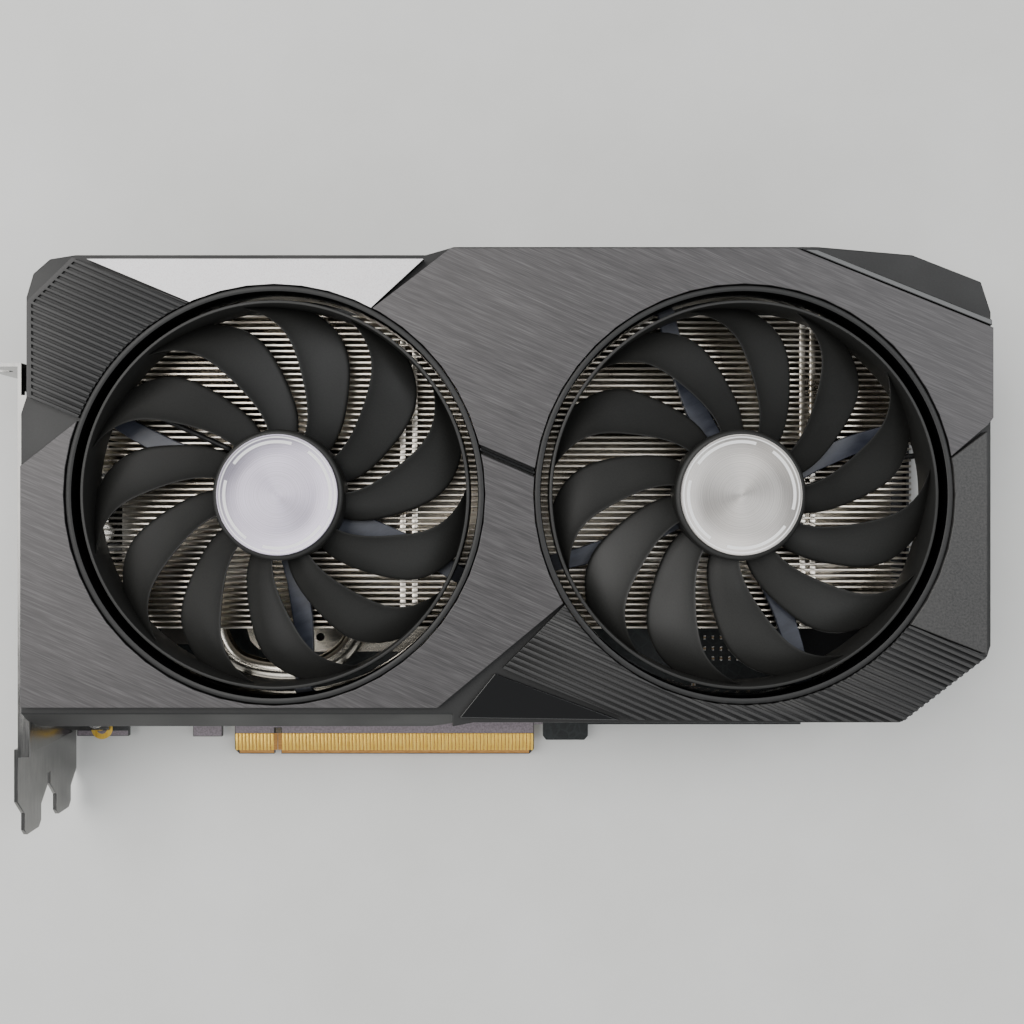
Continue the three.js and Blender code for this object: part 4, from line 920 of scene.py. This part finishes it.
# The mask over the tongue's root and the short hooks beside it, and the tongue's bevelled edge.
def makeTongue():
    left, right, key = -77.25, 6.65, -65.3
    face, back = board["face"], board["back"]
    shape = Shape()
    fields = [(left, key - 1.15, -66.45, -63.4), (key + 1.15, right, -66.45, -63.4),
              (key - 1.15, key + 1.15, -64.9, -63.4), (right + 0.2, right + 2.6, -63.95, -62.0),
              (-89.1, -81.2, -67.3, -62.2), (-121.7, -107.5, -67.15, -65.8)]
    for start, end, low, high in fields:
        for z in (face, back - 0.03):
            addBox(shape, (start, low, z - 0.005), (end, high, z + 0.03))
    mesh = shape.mesh("maskFine", cardOffset())
    finishPiece(mesh, "tongue_mask", "tongue", "root", [], 30)
    edge = Shape()
    for start, end in ((left + 1.2, key - 1.05), (key + 1.05, right - 1.2)):
        low, high = -72.34, -71.2
        outline = [(low, back + 0.25), (low + 0.3, back - 0.03), (high, back - 0.03),
                   (high, face + 0.03), (low + 0.3, face + 0.03), (low, face - 0.25)]
        addBar(edge, outline, start, end)
        outline = [(high, face), (board["fingerHigh"] + 0.1, face), (board["fingerHigh"] + 0.1, face + 0.012),
                   (high, face + 0.012)]
        addBar(edge, outline, start - 1.0, end + 0.95)
    mesh = edge.mesh("edgeFine", cardOffset())
    finishPiece(mesh, "tongue_bevel", "edge", "root", [], 30)


# Moulded chokes: a square block with eased corners and two tinned ends.
def makeChokes():
    blocks, ends = Shape(), Shape()
    for i in range(4):
        x, y = -92.0, -36 + i * 12.5
        roundedBlock(blocks, (x, y, board["face"] + 0.05), (board["choke"], board["choke"], 4.4), 0.9)
        for side in (-1, 1):
            roundedBlock(ends, (x + side * 4.6, y, board["face"]), (1.6, 5.5, 0.9), 0.3)
    finishPiece(blocks.mesh("chokesFine", cardOffset()), "power_chokes", "ferrite", "root", [], 30)
    finishPiece(ends.mesh("chokeEndsFine", cardOffset()), "choke_ends", "shell", "root", [], 30)


# Small chip capacitors: a fired body with a tinned cap over each end.
def makeChipParts():
    rng = np.random.default_rng(7)
    bodies, caps = Shape(), Shape()
    places = [(-60 + 1.9 * i, -61.6, 1) for i in range(30)]
    places += [(x, y, 1) for x in (-104, -101.5, -99) for y in np.arange(-50, 20, 3.4)]
    places += [(x, -55.0 + 2.2 * (i % 2), 0) for i, x in enumerate(np.arange(14, 78, 2.9))]
    places += [(x, y, 1) for x in np.arange(48, 67, 2.3) for y in (-39.5, -42.6, -45.4)]
    places += [(x, y, 0) for x in np.arange(-84, -56, 2.6) for y in (-50.5, -53.2)]
    for x, y, upright in places:
        x += rng.uniform(-0.05, 0.05)
        long, wide = 1.1, 0.62
        size = (wide, long - 0.5, 0.5) if upright else (long - 0.5, wide, 0.5)
        roundedBlock(bodies, (x, y, board["face"] + 0.03), size, 0.05)
        for side in (-1, 1):
            shift = side * (long / 2 - 0.13)
            place = (x, y + shift) if upright else (x + shift, y)
            size = (wide + 0.04, 0.27, 0.54) if upright else (0.27, wide + 0.04, 0.54)
            roundedBlock(caps, (*place, board["face"] + 0.01), size, 0.08)
    finishPiece(bodies.mesh("chipBodies", cardOffset()), "chip_capacitors", "ceramic", "root", [], 30)
    finishPiece(caps.mesh("chipCaps", cardOffset()), "capacitor_caps", "shell", "root", [], 30)


# Solid capacitors: an aluminium can with a rounded shoulder on a black foot.
def makeCans():
    cans, feet = Shape(), Shape()
    for x, y in ((-112, -30), (-112, -20), (-112, -10), (-112, 0), (70, -35), (70, 0), (70, 12)):
        radius, low = 3.1, board["face"] + 0.6
        turn = np.linspace(0, np.pi / 2, 5)
        shoulder = [(radius - 0.6 + 0.6 * math.cos(t), low + 5.6 + 0.6 * math.sin(t)) for t in turn]
        profile = [(0, low), (radius, low), (radius, low + 0.9), (radius - 0.15, low + 1.1),
                   (radius, low + 1.3)] + shoulder + [(1.9, low + 6.2), (1.8, low + 6.1), (0, low + 6.1)]
        cans.addGrid(revolve(profile, 40, (x, y)), closeRows=True)
        roundedBlock(feet, (x, y, board["face"] + 0.02), (6.6, 6.6, 0.7), 1.0)
    finishPiece(cans.mesh("cansFine", cardOffset()), "solid_capacitors", "shell", "root", [], 30)
    finishPiece(feet.mesh("feetFine", cardOffset()), "capacitor_feet", "nylon", "root", [], 30)


# Headers for the fan leads, with the plugs pushed in.
def makePlugs():
    shells, plugs = Shape(), Shape()
    for x, y in ((-107.2, 45.2), (82.0 - 5.5, 21.0)):
        roundedBlock(shells, (x, y, board["face"] + 0.02), (4.6, 7.6, 3.6), 0.3)
        roundedBlock(plugs, (x, y, board["face"] + 3.6), (3.4, 6.4, 1.6), 0.35)
    finishPiece(shells.mesh("headersFine", cardOffset()), "fan_headers", "cream", "root", [], 30)
    finishPiece(plugs.mesh("plugsFine", cardOffset()), "fan_plugs", "nylon", "root", [], 30)


# Cream nylon posts that carry the shroud at the bracket end.
def makePosts():
    posts = Shape()
    for x, y in ((-107.6, 9.5), (-107.6, -22.0)):
        profile = [(0, 5), (3.1, 5), (3.1, 24), (2.9, 24.6), (2.1, 25), (2.1, 30.4), (1.8, 30.9),
                   (1.0, 31), (0.9, 30), (0, 30)]
        posts.addGrid(revolve(profile, 40, (x, y)), closeRows=True)
    finishPiece(posts.mesh("postsFine", cardOffset()), "shroud_posts", "cream", "root", [], 30)


# Plated rings round the holes of the bracket's screws.
def makeRings():
    rings = Shape()
    for i in (1, 2):
        centre = centreOf("bracket_screw_%d" % i)
        place = (centre.x / mm, centre.y / mm)
        profile = [(1.75, board["face"]), (3.9, board["face"]), (3.9, board["face"] + 0.03),
                   (1.75, board["face"] + 0.03)]
        rings.addGrid(revolve(profile, 48, place), closeRows=True, closeColumns=True)
    low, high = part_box("circuit_board")
    hook = ((low.x / mm) + 7.0, (low.y / mm) + 7.1)
    profile = [(1.5, board["face"]), (3.0, board["face"]), (3.0, board["face"] + 0.06),
               (1.5, board["face"] + 0.06)]
    rings.addGrid(revolve(profile, 48, hook), closeRows=True, closeColumns=True)
    finishPiece(rings.mesh("ringsFine"), "hole_rings", "gold", "root", [], 30)


makeFingers()
makeTongue()
makeChokes()
makeChipParts()
makeCans()
makePlugs()
makePosts()
makeRings()
print("board done")


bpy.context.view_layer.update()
